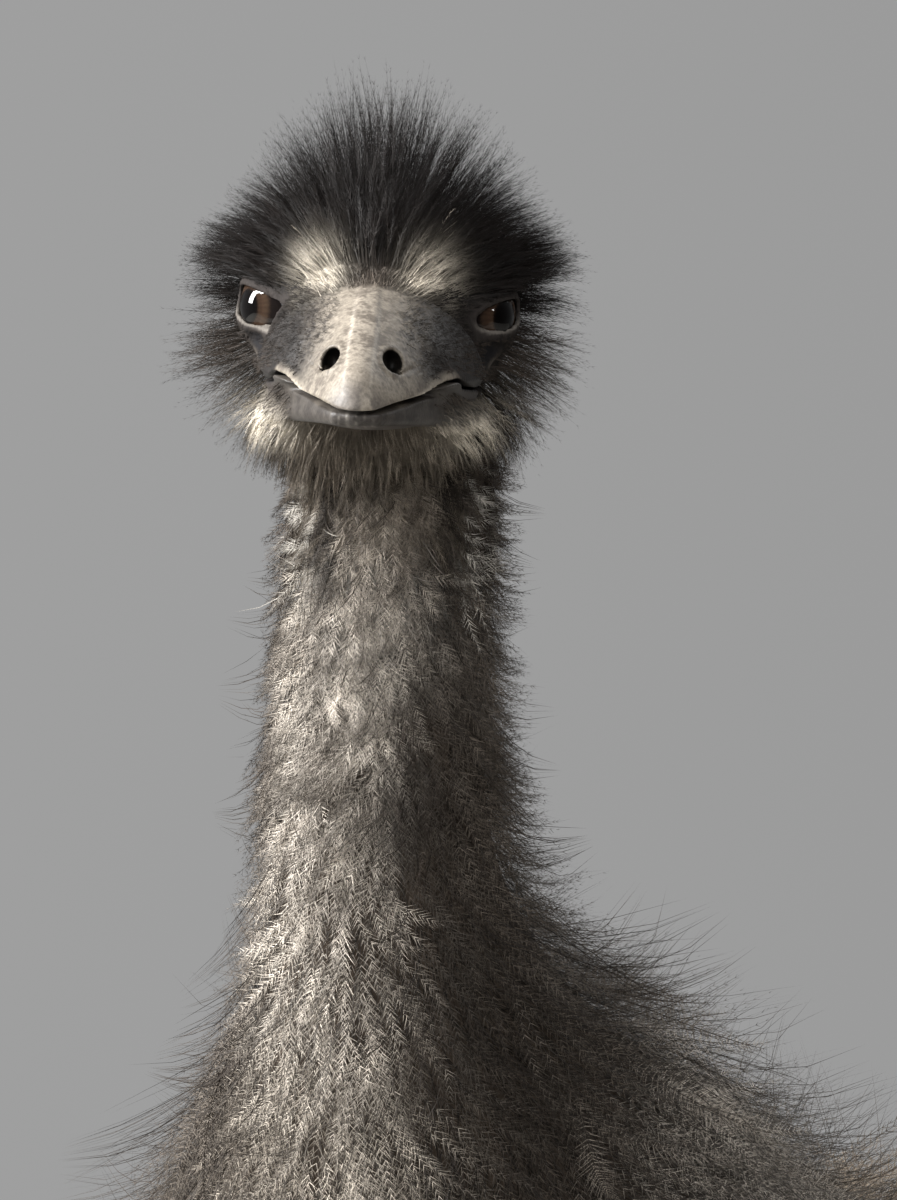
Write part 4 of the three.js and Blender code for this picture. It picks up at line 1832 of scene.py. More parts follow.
@dataclass
class Vanes:
    """Cut feathers as the arrays of one mesh.

    Each feather takes a small patch of the unwrapped map, around the place of its root.
    """

    points: Array
    colours: Array
    places: Array
    tris: Array

    PATCH = 0.003

    @classmethod
    def cut(cls, cut: PlumeCut, bunch: Bunch, rng: np.random.Generator) -> "Vanes":
        """Cuts every feather of a bunch.

        Args:
            cut: the kind of feather.
            bunch: where the feathers run.
            rng: the source of their unevenness.

        Returns:
            The vanes of all feathers, in the frame of their lines.
        """
        count = len(bunch.lines)
        share = np.linspace(0.0, 1.0, cut.joints + 1)
        along = unit(np.gradient(bunch.lines, axis=1))
        across = unit(np.cross(along, bunch.facing))
        out = np.cross(across, along)
        turn = math.radians(cut.twist) * rng.normal(size=(count, 1, 1)) * (0.4 + 0.6 * share[None, :, None])
        side = across * np.cos(turn) + out * np.sin(turn)
        out = np.cross(side, along)
        half = (cut.shaft / 2 * (1 - 0.75 * share[:-1]))[None, :, None]
        at = bunch.lines[:, :-1]
        stem = np.stack([at - side[:, :-1] * half, at + side[:, :-1] * half], axis=2)
        stem = np.concatenate([stem.reshape(count, -1, 3), bunch.lines[:, -1:]], axis=1)
        steps = (np.arange(cut.barbs) + rng.uniform(0.1, 0.9, (count, cut.barbs))) / cut.barbs
        place = cut.bare + (1 - cut.bare - cut.bare_tip) * steps
        base, ahead, beside, above = (cls.between(v, place) for v in (bunch.lines, along, side, out))
        rising = 0.4 + 0.6 * np.sin(np.clip(steps / cut.fullest, 0, 1) * math.pi / 2)
        falling = 1 - 0.72 * np.clip((steps - cut.fullest) / (1 - cut.fullest), 0, 1) ** 1.4
        length = bunch.reach[:, None] * rising * falling
        lean = math.radians(cut.lean) * (1.1 - 0.4 * steps)
        width = (cut.barb_width * (1.15 - 0.5 * steps))[..., None] / 2
        tips = []
        for way in (-1, 1):
            tilt = (lean * rng.uniform(0.8, 1.2, lean.shape))[..., None]
            reach = (length * rng.uniform(0.7, 1.15, lean.shape))[..., None]
            lift = cut.ruffle * rng.normal(size=(*lean.shape, 1))
            tips.append(base + reach * (ahead * np.cos(tilt) + way * beside * np.sin(tilt) + above * lift))
        barbs = np.stack([base - ahead * width, base + ahead * width, *tips], axis=2)
        points = np.concatenate([stem, barbs.reshape(count, -1, 3)], axis=1)
        stem_share = np.append(np.repeat(share[:-1], 2), 1.0)
        stem_share = np.broadcast_to(stem_share, (count, len(stem_share)))
        ends = np.minimum(place + 0.14, 1.0)
        barb_share = np.stack([place, place, ends, ends], axis=2).reshape(count, -1)
        shares = np.concatenate([stem_share, barb_share], axis=1)
        tone = np.repeat(bunch.vane[:, None], shares.shape[1], axis=1)
        tone[:, : stem_share.shape[1]] = bunch.stem[:, None]
        colours = mix(tone, bunch.tip[:, None], smooth_step(cut.tip_from, 1.02, shares))
        # Painted shade: each plume darkens towards its root, as the depth of the coat would shade it
        colours = colours * (1 - cut.painted_root_shade * smooth_step(0.5, 0.0, shares))[..., None]
        if bunch.tint is not None:
            colours = colours * bunch.tint(points)
        across_stem = np.append(np.tile([-0.2, 0.2], cut.joints), 0.0)
        across_barbs = np.tile([0.0, 0.0, -1.0, 1.0], cut.barbs)
        aside = cls.PATCH / 2 * np.concatenate([across_stem, across_barbs])[None]
        on_map = bunch.roots[:, None]
        places = np.stack([on_map[..., 0] + aside, on_map[..., 1] + cls.PATCH * (shares - 0.5)], axis=2)
        first = (np.arange(count) * points.shape[1])[:, None, None]
        tris = (cls.pattern(cut)[None] + first).reshape(-1, 3)
        return cls(points.reshape(-1, 3), colours.reshape(-1, 3), places.reshape(-1, 2), tris)

    @staticmethod
    def between(values: Array, place: Array) -> Array:
        """Reads values given at a plume's joints at shares of its way.

        Args:
            values: a row of values for each joint of each plume.
            place: shares of the way, for each plume.

        Returns:
            The values there.
        """
        joints = values.shape[1] - 1
        start = np.minimum((place * joints).astype(int), joints - 1)
        share = (place * joints - start)[..., None]
        rows = np.arange(len(values))[:, None]
        return values[rows, start] * (1 - share) + values[rows, start + 1] * share

    @staticmethod
    def pattern(cut: PlumeCut) -> Array:
        """The triangles of one feather, by the numbers of its points.

        Args:
            cut: the kind of feather.

        Returns:
            Three numbers for each triangle.
        """
        tris = []
        for joint in range(cut.joints - 1):
            left, right, left_on, right_on = (2 * joint + k for k in range(4))
            tris += [(left, right, right_on), (left, right_on, left_on)]
        last = 2 * cut.joints
        tris.append((last - 2, last - 1, last))
        for barb in range(cut.barbs):
            first = last + 1 + 4 * barb
            tris += [(first, first + 1, first + 2), (first + 1, first, first + 3)]
        return np.array(tris)

    def piece(self, name: str, slot: str, material: bpy.types.Material) -> bpy.types.Object:
        """Makes the coat piece, in the bird's frame.

        Args:
            name: the piece's name.
            slot: the material slot of the record; not used.
            material: what the barbs are made of.

        Returns:
            The finished piece.
        """
        piece = piece_of(name, Shell(self.points, np.zeros((0, 4), int), self.tris))
        paint(piece, self.colours)
        unwrap = piece.data.uv_layers.new(name=BAKE_MAP)
        unwrap.data.foreach_set("uv", self.places[self.tris.ravel()].astype(np.float32).ravel())
        piece.data.polygons.foreach_set("use_smooth", np.ones(len(self.tris), bool))
        piece.data.materials.append(material)
        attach(piece, "root")
        return piece


def spread_evenly(count: int, seed: float) -> Array:
    """Points spread over the unit square by steps of the plastic number, so that none crowd together.

    Args:
        count: how many.
        seed: where they start.

    Returns:
        Two shares for each point.
    """
    plastic = 1.324717957244746
    order = np.arange(1, count + 1)[:, None]
    return (seed + order * np.array([1 / plastic, 1 / plastic**2])) % 1.0


def held_in(across: Array, start: float, most: float) -> Array:
    """Bends back what reaches out sideways beyond a start, so that it never passes the most.

    Args:
        across: places across the bird.
        start: where the bend begins.
        most: the farthest that is let.

    Returns:
        The places, bent back.
    """
    past = np.maximum(np.abs(across) - start, 0.0)
    room = most - start
    return np.sign(across) * (np.minimum(np.abs(across), start) + room * np.tanh(past / room))


def gathered(lines: Array, in_lock: int, pull: float, rng: np.random.Generator) -> tuple[Array, Array]:
    """Draws plumes together into locks, as preened feathers hang.

    Args:
        lines: the plumes' joints.
        in_lock: how many hang together.
        pull: how far each tip is drawn to its leader's, from 0 to 1.
        rng: picks the leaders and their shades.

    Returns:
        The gathered lines and a shade for each plume, the same all through a lock.
    """
    leaders = rng.choice(len(lines), max(len(lines) // in_lock, 1), replace=False)
    tree = KDTree(len(leaders))
    for number, leader in enumerate(leaders):
        tree.insert(lines[leader, 0], number)
    tree.balance()
    lock = np.array([tree.find(root)[1] for root in lines[:, 0]])
    share = pull * np.linspace(0, 1, lines.shape[1])[None, :, None] ** 1.5
    shade = rng.uniform(0.6, 1.25, (len(leaders), 1))[lock]
    return lines + (lines[leaders[lock]] - lines) * share, shade


@dataclass
class LoftCoat:
    """Plumage rooted on one of the bird's round bodies and combed along a lie.

    The density, length and lie are told by way, angle and, for the lie, place and the spine's direction.
    A plume rises from the skin by its low share of the coat's depth, which the bulge adds to, and its
    tip lifts off further by its curl, more on the upper side by the mane. It strays from the lie by
    some degrees. Past the end of the body it runs straight on, by no more than the overshoot in mm.
    """

    body: Loft
    ways: tuple[float, float]
    density: Callable[[Array, Array], Array]
    length: Callable[[Array, Array], Array]
    lie: Callable[[Array, Array, Array, Array], Array]
    low: tuple[float, float] = (0.45, 0.95)
    curl: tuple[float, float] = (0.0, 0.2)
    mane: float = 0.0
    stray: float = 9.0
    overshoot: float = 44.0
    bulge: Callable[[Array, Array], Array] | None = None
    end: float = 0.985

    FIRST_WAY = 0.003
    MOST_TURN = 0.25

    def roots(self, count: int, rng: np.random.Generator) -> tuple[Array, Array]:
        """Spreads the roots by area and density.

        Args:
            count: how many feathers.
            rng: shifts them a little.

        Returns:
            Way and angle of each root.
        """
        ways = np.linspace(*self.ways, 161)
        angles = np.linspace(-math.pi, math.pi, 181)
        middles = ((edges[1:] + edges[:-1]) / 2 for edges in (ways, angles))
        way, angle = np.meshgrid(*middles, indexing="ij")
        by_way, by_angle, _ = self.body.directions(way.ravel(), angle.ravel(), 0.5)
        area = np.linalg.norm(np.cross(by_way, by_angle), axis=1).reshape(way.shape)
        weight = area * self.density(way, angle) + 1e-9
        along = np.concatenate([[0], np.cumsum(weight.sum(axis=1))])
        along /= along[-1]
        lot = spread_evenly(count, rng.uniform())
        chosen = np.interp(lot[:, 0], along, ways)
        row = np.clip(np.searchsorted(ways, chosen) - 1, 0, len(ways) - 2)
        around = np.cumsum(weight, axis=1)
        around = np.hstack([np.zeros((len(around), 1)), around / around[:, -1:]])
        column = np.array([np.interp(lot[k, 1], around[row[k]], angles) for k in range(count)])
        return chosen, column

    def lines(
        self, way: Array, angle: Array, joints: int, rng: np.random.Generator
    ) -> tuple[Array, Array, Array]:
        """Combs plumes over the body from their roots.

        Args:
            way: ways of the roots.
            angle: their angles.
            joints: steps along each plume.
            rng: the source of unevenness.

        Returns:
            The plumes' joints, the directions they face and their lengths.
        """
        count = len(way)
        length = self.length(way, angle) * rng.uniform(0.72, 1.1, count)
        low = rng.uniform(*self.low, count)
        if self.bulge is not None:
            low = low + self.bulge(way, angle)
        on_mane = smooth_step(-0.1, 0.7, np.sin(angle + math.pi / 4))
        curl = rng.uniform(*self.curl, count) * (1 + self.mane * on_mane)
        root = self.body.place(way, angle, 0.0)
        sway = np.radians(self.stray) * (rng.normal(size=count) + 1.3 * mottle(root, 55.0, 3.0))
        ways, angles = way.copy(), angle.copy()
        free = np.zeros(count, bool)
        room = self.overshoot * rng.uniform(0.2, 1.0, count)
        travel, heading, pace = np.zeros(count), np.zeros((count, 3)), np.ones(count)
        end = self.end - 0.05 * rng.uniform(0.0, 1.0, count)
        joints_at, facing = [], []
        for joint in range(joints + 1):
            share = joint / joints
            rise = low * share**0.75 + curl * share**3
            on_body = self.body.place(ways, angles, rise)
            by_way, by_angle, normal = self.body.directions(ways, angles, np.minimum(rise, 1.0))
            spine = self.body.rows(ways)[:, 3:6]
            past = joints_at[-1] + heading * travel[:, None] if joints_at else on_body
            joints_at.append(np.where(free[:, None], past, on_body))
            facing.append(normal)
            wanted = self.lie(ways, angles, on_body, spine)
            wanted = unit(wanted - normal * np.sum(wanted * normal, axis=1, keepdims=True))
            turned = np.cross(normal, wanted)
            wanted = wanted * np.cos(sway)[:, None] + turned * np.sin(sway)[:, None]
            ww, aa = np.sum(by_way**2, axis=1), np.sum(by_angle**2, axis=1)
            wa = np.sum(by_way * by_angle, axis=1)
            dw, da = np.sum(by_way * wanted, axis=1), np.sum(by_angle * wanted, axis=1)
            whole = np.maximum(ww * aa - wa**2, 1e-6)
            step = length / joints * (1 - 1.3 * curl * share**2)
            heading = np.where(free[:, None], heading, unit(wanted + 0.25 * spine))
            ways_next = ways + step * (aa * dw - wa * da) / whole
            leaving = ~free & (ways_next > end)
            left = length * (1 - share) + 1.0
            pace = np.where(leaving, np.minimum(room / left, 1.0), pace)
            free |= leaving
            travel = np.maximum(step, 0.0) * pace
            ways = np.where(free, ways, np.clip(ways_next, self.FIRST_WAY, 1.0))
            turn = np.clip(step * (ww * da - wa * dw) / whole, -self.MOST_TURN, self.MOST_TURN)
            angles = np.where(free, angles, angles + turn)
        return np.stack(joints_at, axis=1), np.stack(facing, axis=1), length

    def places(self, way: Array, angle: Array) -> Array:
        """Where roots lie on the unwrapped skin.

        Args:
            way: ways of the roots.
            angle: their angles.

        Returns:
            Two shares of the map for each root.
        """
        low, high = self.ways
        across = MAP_MARGIN + MAP_ROOM * (angle / (2 * math.pi) + 0.5)
        return np.column_stack([across, MAP_MARGIN + MAP_ROOM * (way - low) / (high - low)])


@dataclass(frozen=True)
class Batch:
    """One piece of the body's coat: its name, slot, stretch of the body, number and kind of feathers.

    The low, curl, mane and stray are the lie's. The lengths are stretched by longer and never under the
    shortest, in mm. The reach is the barbs', in mm, where it doesn't follow from the length. Dark is how
    far the barbs are blackened, and a lock is how many feathers the pull draws together.
    """

    name: str
    slot: str
    ways: tuple[float, float]
    count: int
    cut: PlumeCut
    low: tuple[float, float]
    curl: tuple[float, float]
    mane: float = 0.0
    stray: float = 12.0
    upper: bool = False
    longer: float = 1.0
    reach: float | None = None
    dark: float = 0.0
    pull: float = 0.6
    lock: int = 11
    shortest: float = 0.0


NECK_CUT = PlumeCut(
    4, 15, shaft=0.3, barb_width=0.42, lean=36, bare=0.1, ruffle=0.3, twist=38, tip_from=0.5, bare_tip=0.07
)
HAIR_CUT = PlumeCut(
    5, 2, shaft=0.44, barb_width=0.3, lean=24, bare=0.45, twist=60, painted_root_shade=0.0, bare_tip=0.2
)
BREAST_CUT = PlumeCut(
    6, 36, shaft=0.42, barb_width=0.27, lean=40, bare=0.1, ruffle=0.5, twist=42, tip_from=0.62, bare_tip=0.05
)
TRUNK_CUT = PlumeCut(6, 36, shaft=0.8, barb_width=1.1, lean=34, bare=0.08, tip_from=0.7)
THIGH_CUT = PlumeCut(5, 30, shaft=0.7, barb_width=0.9, lean=34, bare=0.1, tip_from=0.7)
MANTLE_CUT = PlumeCut(
    7,
    34,
    shaft=0.7,
    barb_width=0.38,
    lean=66,
    bare=0.15,
    fullest=0.4,
    twist=50,
    tip_from=0.85,
    painted_root_shade=0.2,
    bare_tip=0.04,
)
CROWN_CUT = PlumeCut(
    3, 8, shaft=0.28, barb_width=0.27, lean=27, bare=0.25, fullest=0.3, twist=55, painted_root_shade=0.3
)
FILAMENT_CUT = PlumeCut(6, 5, shaft=0.3, barb_width=0.16, lean=24, bare=0.4, twist=60, painted_root_shade=0.0)
BRISTLE_CUT = PlumeCut(2, 1, shaft=0.22, barb_width=0.2, lean=30, bare=0.4, twist=50, painted_root_shade=0.0)


@dataclass
class BodyCoat:
    """The plumage of neck, breast, trunk and rump, parted along the back."""

    body: Loft
    material: bpy.types.Material
    length_ways: tuple[float, ...] = (0.0, 0.07, 0.14, 0.21, 0.28, 0.36, 0.43, 0.5, 0.65, 0.8, 0.93, 1.0)
    lengths: tuple[float, ...] = (15, 20, 26, 34, 46, 70, 95, 120, 150, 165, 150, 110)

    def batches(self) -> list[Batch]:
        """The pieces of the coat, each small enough to bake by itself.

        Returns:
            What to grow, in order.
        """
        neck = {"low": (0.4, 0.85), "curl": (0.1, 0.45), "mane": 1.8, "stray": 22, "pull": 0.72, "lock": 5}
        hairs = {"low": (0.75, 1.05), "curl": (0.3, 1.1), "mane": 0.5, "stray": 22, "pull": 0.8}
        hairs |= {"longer": 0.85, "dark": 1.0}
        breast = {"low": (0.4, 0.95), "curl": (0.0, 0.45), "mane": 1.0, "stray": 32, "pull": 0.7, "lock": 4}
        mantle = {"low": (0.65, 1.0), "curl": (0.0, 0.3), "mane": 0.6, "stray": 28, "pull": 0.3}
        mantle |= {"upper": True, "shortest": 76.0}
        loose = {"low": (0.35, 1.05), "curl": (0.0, 0.3), "mane": 0.5}
        slot = "body_plumage"
        return [
            Batch("plumage_neck_upper", "neck_plumage", (0.0, 0.17), 4700, NECK_CUT, reach=4.6, **neck),
            Batch("plumage_neck_lower", "neck_plumage", (0.17, 0.36), 4700, NECK_CUT, reach=5.2, **neck),
            Batch("filaments_neck", "neck_plumage", (0.005, 0.5), 6400, HAIR_CUT, reach=2.2, **hairs),
            Batch("plumage_breast", slot, (0.34, 0.5), 2200, BREAST_CUT, reach=7.5, **breast),
            Batch("plumage_mantle", slot, (0.26, 0.52), 950, MANTLE_CUT, reach=8.5, **mantle),
            Batch("plumage_shoulders", slot, (0.48, 0.64), 1500, TRUNK_CUT, **loose),
            Batch("plumage_back", slot, (0.64, 0.82), 1450, TRUNK_CUT, (0.35, 0.98), (0.0, 0.1)),
            Batch("plumage_rump", slot, (0.82, 0.985), 1150, TRUNK_CUT, (0.4, 0.98), (0.0, 0.1)),
        ]

    @staticmethod
    def off_patches(
        way: Array, angle: Array, middles: tuple[float, float], half: tuple[float, float], at: float
    ) -> Array:
        """Shares of the way from the nearer of two oval patches' middle, in degrees, to its edge."""
        off = np.minimum(*(turn_between(angle, middle) for middle in np.radians(middles)))
        return np.hypot(off / math.radians(half[0]), (way - at) / half[1])

    def bare(self, way: Array, angle: Array) -> Array:
        """How far roots lie on the two thinly feathered patches at the sides of the throat."""
        return smooth_step(1.15, 0.8, self.off_patches(way, angle, (-136.0, -14.0), (14, 0.034), 0.04))

    def length(self, way: Array, angle: Array) -> Array:
        """A plume's length by its place along the body, longer down the back of the neck.

        Args:
            way: ways of the roots.
            angle: their angles.

        Returns:
            Lengths in mm.
        """
        mane = self.behind(angle) * smooth_step(0.5, 0.36, way) * smooth_step(0.02, 0.08, way)
        usual = np.interp(way, self.length_ways, self.lengths)
        return usual * (1 - 0.6 * self.bare(way, angle)) * (1 + 0.6 * mane)

    @staticmethod
    def behind(angle: Array) -> Array:
        """How far round the neck a root lies, 0 on the throat and 1 on the back."""
        off_front = np.abs((angle + 1.5 * math.pi) % (2 * math.pi) - math.pi)
        return smooth_step(math.radians(30), math.radians(64), off_front)

    @staticmethod
    def shade_band(way: Array, angle: Array) -> Array:
        """Painted shade: the dark band of the shaded side that runs down the left of neck and breast."""
        off = np.abs(np.degrees(angle) + 47) / np.interp(way, (0.1, 0.34), (15, 29))
        return smooth_step(1.3, 0.5, off) * smooth_step(0.05, 0.12, way) * smooth_step(0.5, 0.42, way)

    @staticmethod
    def shoulder(way: Array, angle: Array) -> Array:
        """Painted light: paler plumes over the left shoulder, as if light shone through their loose barbs."""
        off = np.abs(np.degrees(angle) - 10) / 44
        return smooth_step(1.0, 0.55, off) * smooth_step(0.27, 0.33, way) * smooth_step(0.5, 0.4, way)

    def density(self, way: Array, angle: Array) -> Array:
        """How closely feathers stand."""
        return 1 - 0.7 * self.bare(way, angle)

    def bulge(self, way: Array, angle: Array) -> Array:
        """Plumage that stands fuller at the right of throat and chest and over the left shoulder.

        Args:
            way: ways of the roots.
            angle: their angles.

        Returns:
            Shares of the coat's depth.
        """
        on_right = smooth_step(0.3, 0.9, -np.cos(angle + 0.4))
        on_left = smooth_step(0.2, 0.9, np.cos(angle - 0.6))
        throat = smooth_step(0.17, 0.08, way) * on_right
        shoulder = smooth_step(0.22, 0.3, way) * smooth_step(0.62, 0.5, way) * on_left
        chest = smooth_step(0.28, 0.36, way) * smooth_step(0.55, 0.45, way) * on_right
        return 0.5 * throat + 0.25 * shoulder + 0.35 * chest

    def upper_density(self, way: Array, angle: Array) -> Array:
        """Loose mantle plumes stand only on the upper side, all along it."""
        return smooth_step(-0.5, 0.2, np.sin(angle))

    def lie(self, way: Array, angle: Array, at: Array, spine: Array) -> Array:
        """Along the body, drooping down the flanks and away from the parting on the back.

        Args:
            way: ways of the plumes' joints.
            angle: their angles.
            at: their places, in mm; not used.
            spine: the spine's direction there.

        Returns:
            A direction for each plume.
        """
        aside = np.cos(angle)
        droop = np.interp(way, (0.3, 0.42, 0.55, 0.8, 1.0), (0.0, 0.3, 0.75, 0.9, 0.6))
        parted = 0.35 * np.interp(way, (0.3, 0.5), (0.0, 1.0))
        parted = parted * np.sign(aside) * smooth_step(0, 0.4, np.abs(aside))
        combed = 0.5 * smooth_step(0.55, 0.3, way) * aside**2
        return spine + droop[:, None] * DOWN + parted[:, None] * SIDEWAYS + combed[:, None] * BACKWARD

    def tones(self, way: Array, angle: Array, at: Array) -> tuple[Array, Array, Array]:
        """Colours of shaft, barbs and tip at each root.

        Args:
            way: ways of the roots.
            angle: their angles.
            at: their places, in mm.

        Returns:
            Linear colours of shafts, barbs and tips.
        """
        back = smooth_step(-0.2, 0.8, np.sin(angle)) * smooth_step(0.3, 0.5, way)
        clumps = smooth_step(-0.1, 0.6, mottle(at, 21.0, 2.0) + 0.4 * mottle(at, 8.0, 5.0))
        vane = layered(
            "#bfb6aa",
            ("#c0b6a8", smooth_step(0.2, 0.34, way)),
            ("#a3988a", smooth_step(0.4, 0.55, way)),
            ("#756c61", smooth_step(0.1, 0.01, way)),
            ("#6a5d4e", 0.8 * back),
            # Darker round the back of the neck: partly the plumage's own dark, partly painted shade of the
            # side turned from the key light
            ("#3a322b", 0.85 * self.behind(angle) * smooth_step(0.5, 0.34, way)),
            # painted shade down the left of neck and breast
            ("#2a241f", 0.85 * self.shade_band(way, angle)),
            # painted light over the left shoulder
            ("#cdc4b8", 0.9 * self.shoulder(way, angle)),
            ("#4b4137", 0.45 * clumps),
        )
        # Painted shade: near-black plumes in the two creases at the sides of the throat
        crease = smooth_step(1.3, 0.5, self.off_patches(way, angle, (-112.0, -38.0), (10, 0.05), 0.03))
        down = self.bare(way, angle)
        stem = layered(0.5 * vane, ("#1c1714", 0.75), ("#928d85", down))
        # painted shade in the throat's creases
        vane = layered(vane, ("#1c1815", 0.95 * crease), ("#b0aba2", down))
        return stem, vane, layered("#2a241f", ("#6c6862", down))

    def build(self) -> list[bpy.types.Object]:
        """Grows every piece of the coat."""
        return [self.grow(batch, number) for number, batch in enumerate(self.batches())]

    def grow(self, batch: Batch, number: int) -> bpy.types.Object:
        """Grows one piece.

        Args:
            batch: which piece.
            number: its place in the list, for the seed.

        Returns:
            The piece.
        """
        rng = np.random.default_rng(SEED + number)
        density = self.upper_density if batch.upper else self.density
        coat = LoftCoat(
            self.body,
            batch.ways,
            density,
            lambda way, angle: np.maximum(batch.longer * self.length(way, angle), batch.shortest),
            self.lie,
            batch.low,
            batch.curl,
            batch.mane,
            batch.stray,
            overshoot=90.0,
            bulge=self.bulge,
            end=0.94,
        )
        way, angle = coat.roots(int(batch.count * when_quick()), rng)
        lines, facing, length = coat.lines(way, angle, batch.cut.joints, rng)
        lines[..., 0] = held_in(lines[..., 0], SIDE_FROM, SIDE_MOST)
        stem, vane, tip = self.tones(way, angle, lines[:, 0])
        vane = layered(vane, ("#17120f", batch.dark))
        lines, shade = gathered(lines, batch.lock, batch.pull, rng)
        shade = shade * rng.uniform(0.85, 1.15, (len(way), 1))
        reach = np.clip(1.6 * length**0.5, 5.0, 19.0)
        bunch = Bunch(
            lines=lines,
            facing=facing,
            reach=reach if batch.reach is None else np.full(len(way), batch.reach),
            roots=coat.places(way, angle),
            stem=stem * shade,
            vane=vane * shade,
            tip=tip * shade,
        )
        return Vanes.cut(batch.cut, bunch, rng).piece(batch.name, batch.slot, self.material)


@dataclass
class ThighCoat:
    """The long plumes that hang down a thigh."""

    leg: Leg
    material: bpy.types.Material
    count: int = 760

    def build(self) -> bpy.types.Object:
        """Grows the thigh's piece.

        Returns:
            The piece.
        """
        rng = np.random.default_rng(SEED + 20 + self.leg.side.value)
        coat = LoftCoat(
            self.leg.thigh(),
            (0.02, 0.96),
            density=lambda way, angle: np.ones_like(way),
            length=lambda way, angle: np.interp(way, (0.0, 0.5, 1.0), (105, 85, 46)),
            lie=lambda way, angle, at, spine: spine,
            low=(0.35, 0.95),
            curl=(0.0, 0.1),
            overshoot=26.0,
            end=0.95,
        )
        count = int(self.count * when_quick())
        way, angle = coat.roots(count, rng)
        lines, facing, length = coat.lines(way, angle, THIGH_CUT.joints, rng)
        clumps = smooth_step(-0.3, 0.8, mottle(lines[:, 0], 34.0, 2.0))
        vane = layered("#6f6253", ("#473d33", 0.5 * clumps))
        shade = rng.uniform(0.8, 1.18, (count, 1))
        bunch = Bunch(
            lines=lines,
            facing=facing,
            reach=np.clip(1.5 * length**0.5, 4.0, 14.0),
            roots=coat.places(way, angle),
            stem=0.5 * vane * shade,
            vane=vane * shade,
            tip=np.tile(linear("#2a241f"), (count, 1)),
        )
        name = f"plumage_thigh_{self.leg.side.word}"
        return Vanes.cut(THIGH_CUT, bunch, rng).piece(name, "body_plumage", self.material)


@dataclass
class WingCoat:
    """The small wing: a slanting patch of darker plumes that stands a little off the flank."""

    body: Loft
    side: Side
    material: bpy.types.Material
    count: int = 360
    stands: float = 0.16

    def inside(self, at: Array) -> Array:
        """Places points on the wing.

        Args:
            at: places on the bird, in mm.

        Returns:
            Shares of the way from the wing's middle to its oval edge, and how far back along it.
        """
        slope = math.radians(WING_SLOPE)
        back = at[..., 1] - WING_MIDDLE[0]
        up = at[..., 2] - WING_MIDDLE[1]
        along = back * math.cos(slope) - up * math.sin(slope)
        across = back * math.sin(slope) + up * math.cos(slope)
        return np.stack([np.hypot(along * 2 / WING_LENGTH, across * 2 / WING_DEPTH), along], axis=-1)

    def density(self, way: Array, angle: Array) -> Array:
        """Feathers only inside the oval, on this side of the bird.

        Args:
            way: ways of the roots.
            angle: their angles.

        Returns:
            How closely feathers stand.
        """
        at = self.body.place(way.ravel(), angle.ravel(), 1.0).reshape(*way.shape, 3)
        on_side = at[..., 0] * self.side.value > 0
        return smooth_step(1.05, 0.9, self.inside(at)[..., 0]) * on_side

    def length(self, way: Array, angle: Array) -> Array:
        """Short enough to end near the wing's tip."""
        behind = self.inside(self.body.place(way, angle, 1.0))[..., 1]
        return np.clip(WING_LENGTH / 2 + 18 - behind, 34, 95)

    def build(self) -> bpy.types.Object:
        """Grows the wing's piece.

        Returns:
            The piece.
        """
        rng = np.random.default_rng(SEED + 30 + self.side.value)
        slope = math.radians(WING_SLOPE)
        lie = np.array([0.0, math.cos(slope), -math.sin(slope)])
        coat = LoftCoat(
            self.body,
            (0.45, 0.8),
            density=self.density,
            length=self.length,
            lie=lambda way, angle, at, spine: np.broadcast_to(lie, at.shape),
            low=(0.95, 1 + self.stands),
            curl=(0.0, 0.03),
            stray=5.0,
        )
        count = int(self.count * when_quick())
        way, angle = coat.roots(count, rng)
        lines, facing, _ = coat.lines(way, angle, TRUNK_CUT.joints, rng)
        vane = np.tile(linear("#5d5143"), (count, 1)) * rng.uniform(0.75, 1.2, (count, 1))
        bunch = Bunch(
            lines=lines,
            facing=facing,
            reach=np.full(count, 11.0),
            roots=coat.places(way, angle),
            stem=0.5 * vane,
            vane=vane,
            tip=np.tile(linear("#1f1a17"), (count, 1)),
        )
        name = f"plumage_wing_{self.side.word}"
        return Vanes.cut(TRUNK_CUT, bunch, rng).piece(name, "body_plumage", self.material)


def head_coat_tone(points: Array) -> Array:
    """Markings of the head's plumage: black-brown crown, pale inner brows and jaw tufts, grey-brown throat.

    Args:
        points: places in the head's frame.

    Returns:
        Linear colours.
    """
    x, y, z = points[..., 0], points[..., 1], points[..., 2]
    side = np.abs(x)
    throat = smooth_step(-22, -36, z) * smooth_step(38, 20, side) * smooth_step(40, 10, y)
    fore = smooth_step(0, -16, y)
    brow = bell((side - 17) / 7.5, (z - 13.5) / 8.0) * fore
    lock = bell(x / 7, (z - 9) / 6) * fore
    tuft = bell((side - 35) / 11, (z + 37) / 8) * smooth_step(22, 0, y)
    return layered(
        "#14100e",
        ("#2c2621", smooth_step(4, -16, z)),
        ("#625a50", throat),
        ("#b3aa9b", np.clip(1.25 * brow, 0, 1)),
        ("#635a51", np.clip(lock, 0, 1)),
        ("#c2b9aa", np.clip(1.35 * tuft, 0, 1)),
        (lores_tone(points), 0.85 * on_lores(points) * smooth_step(26, 20, side)),
    )


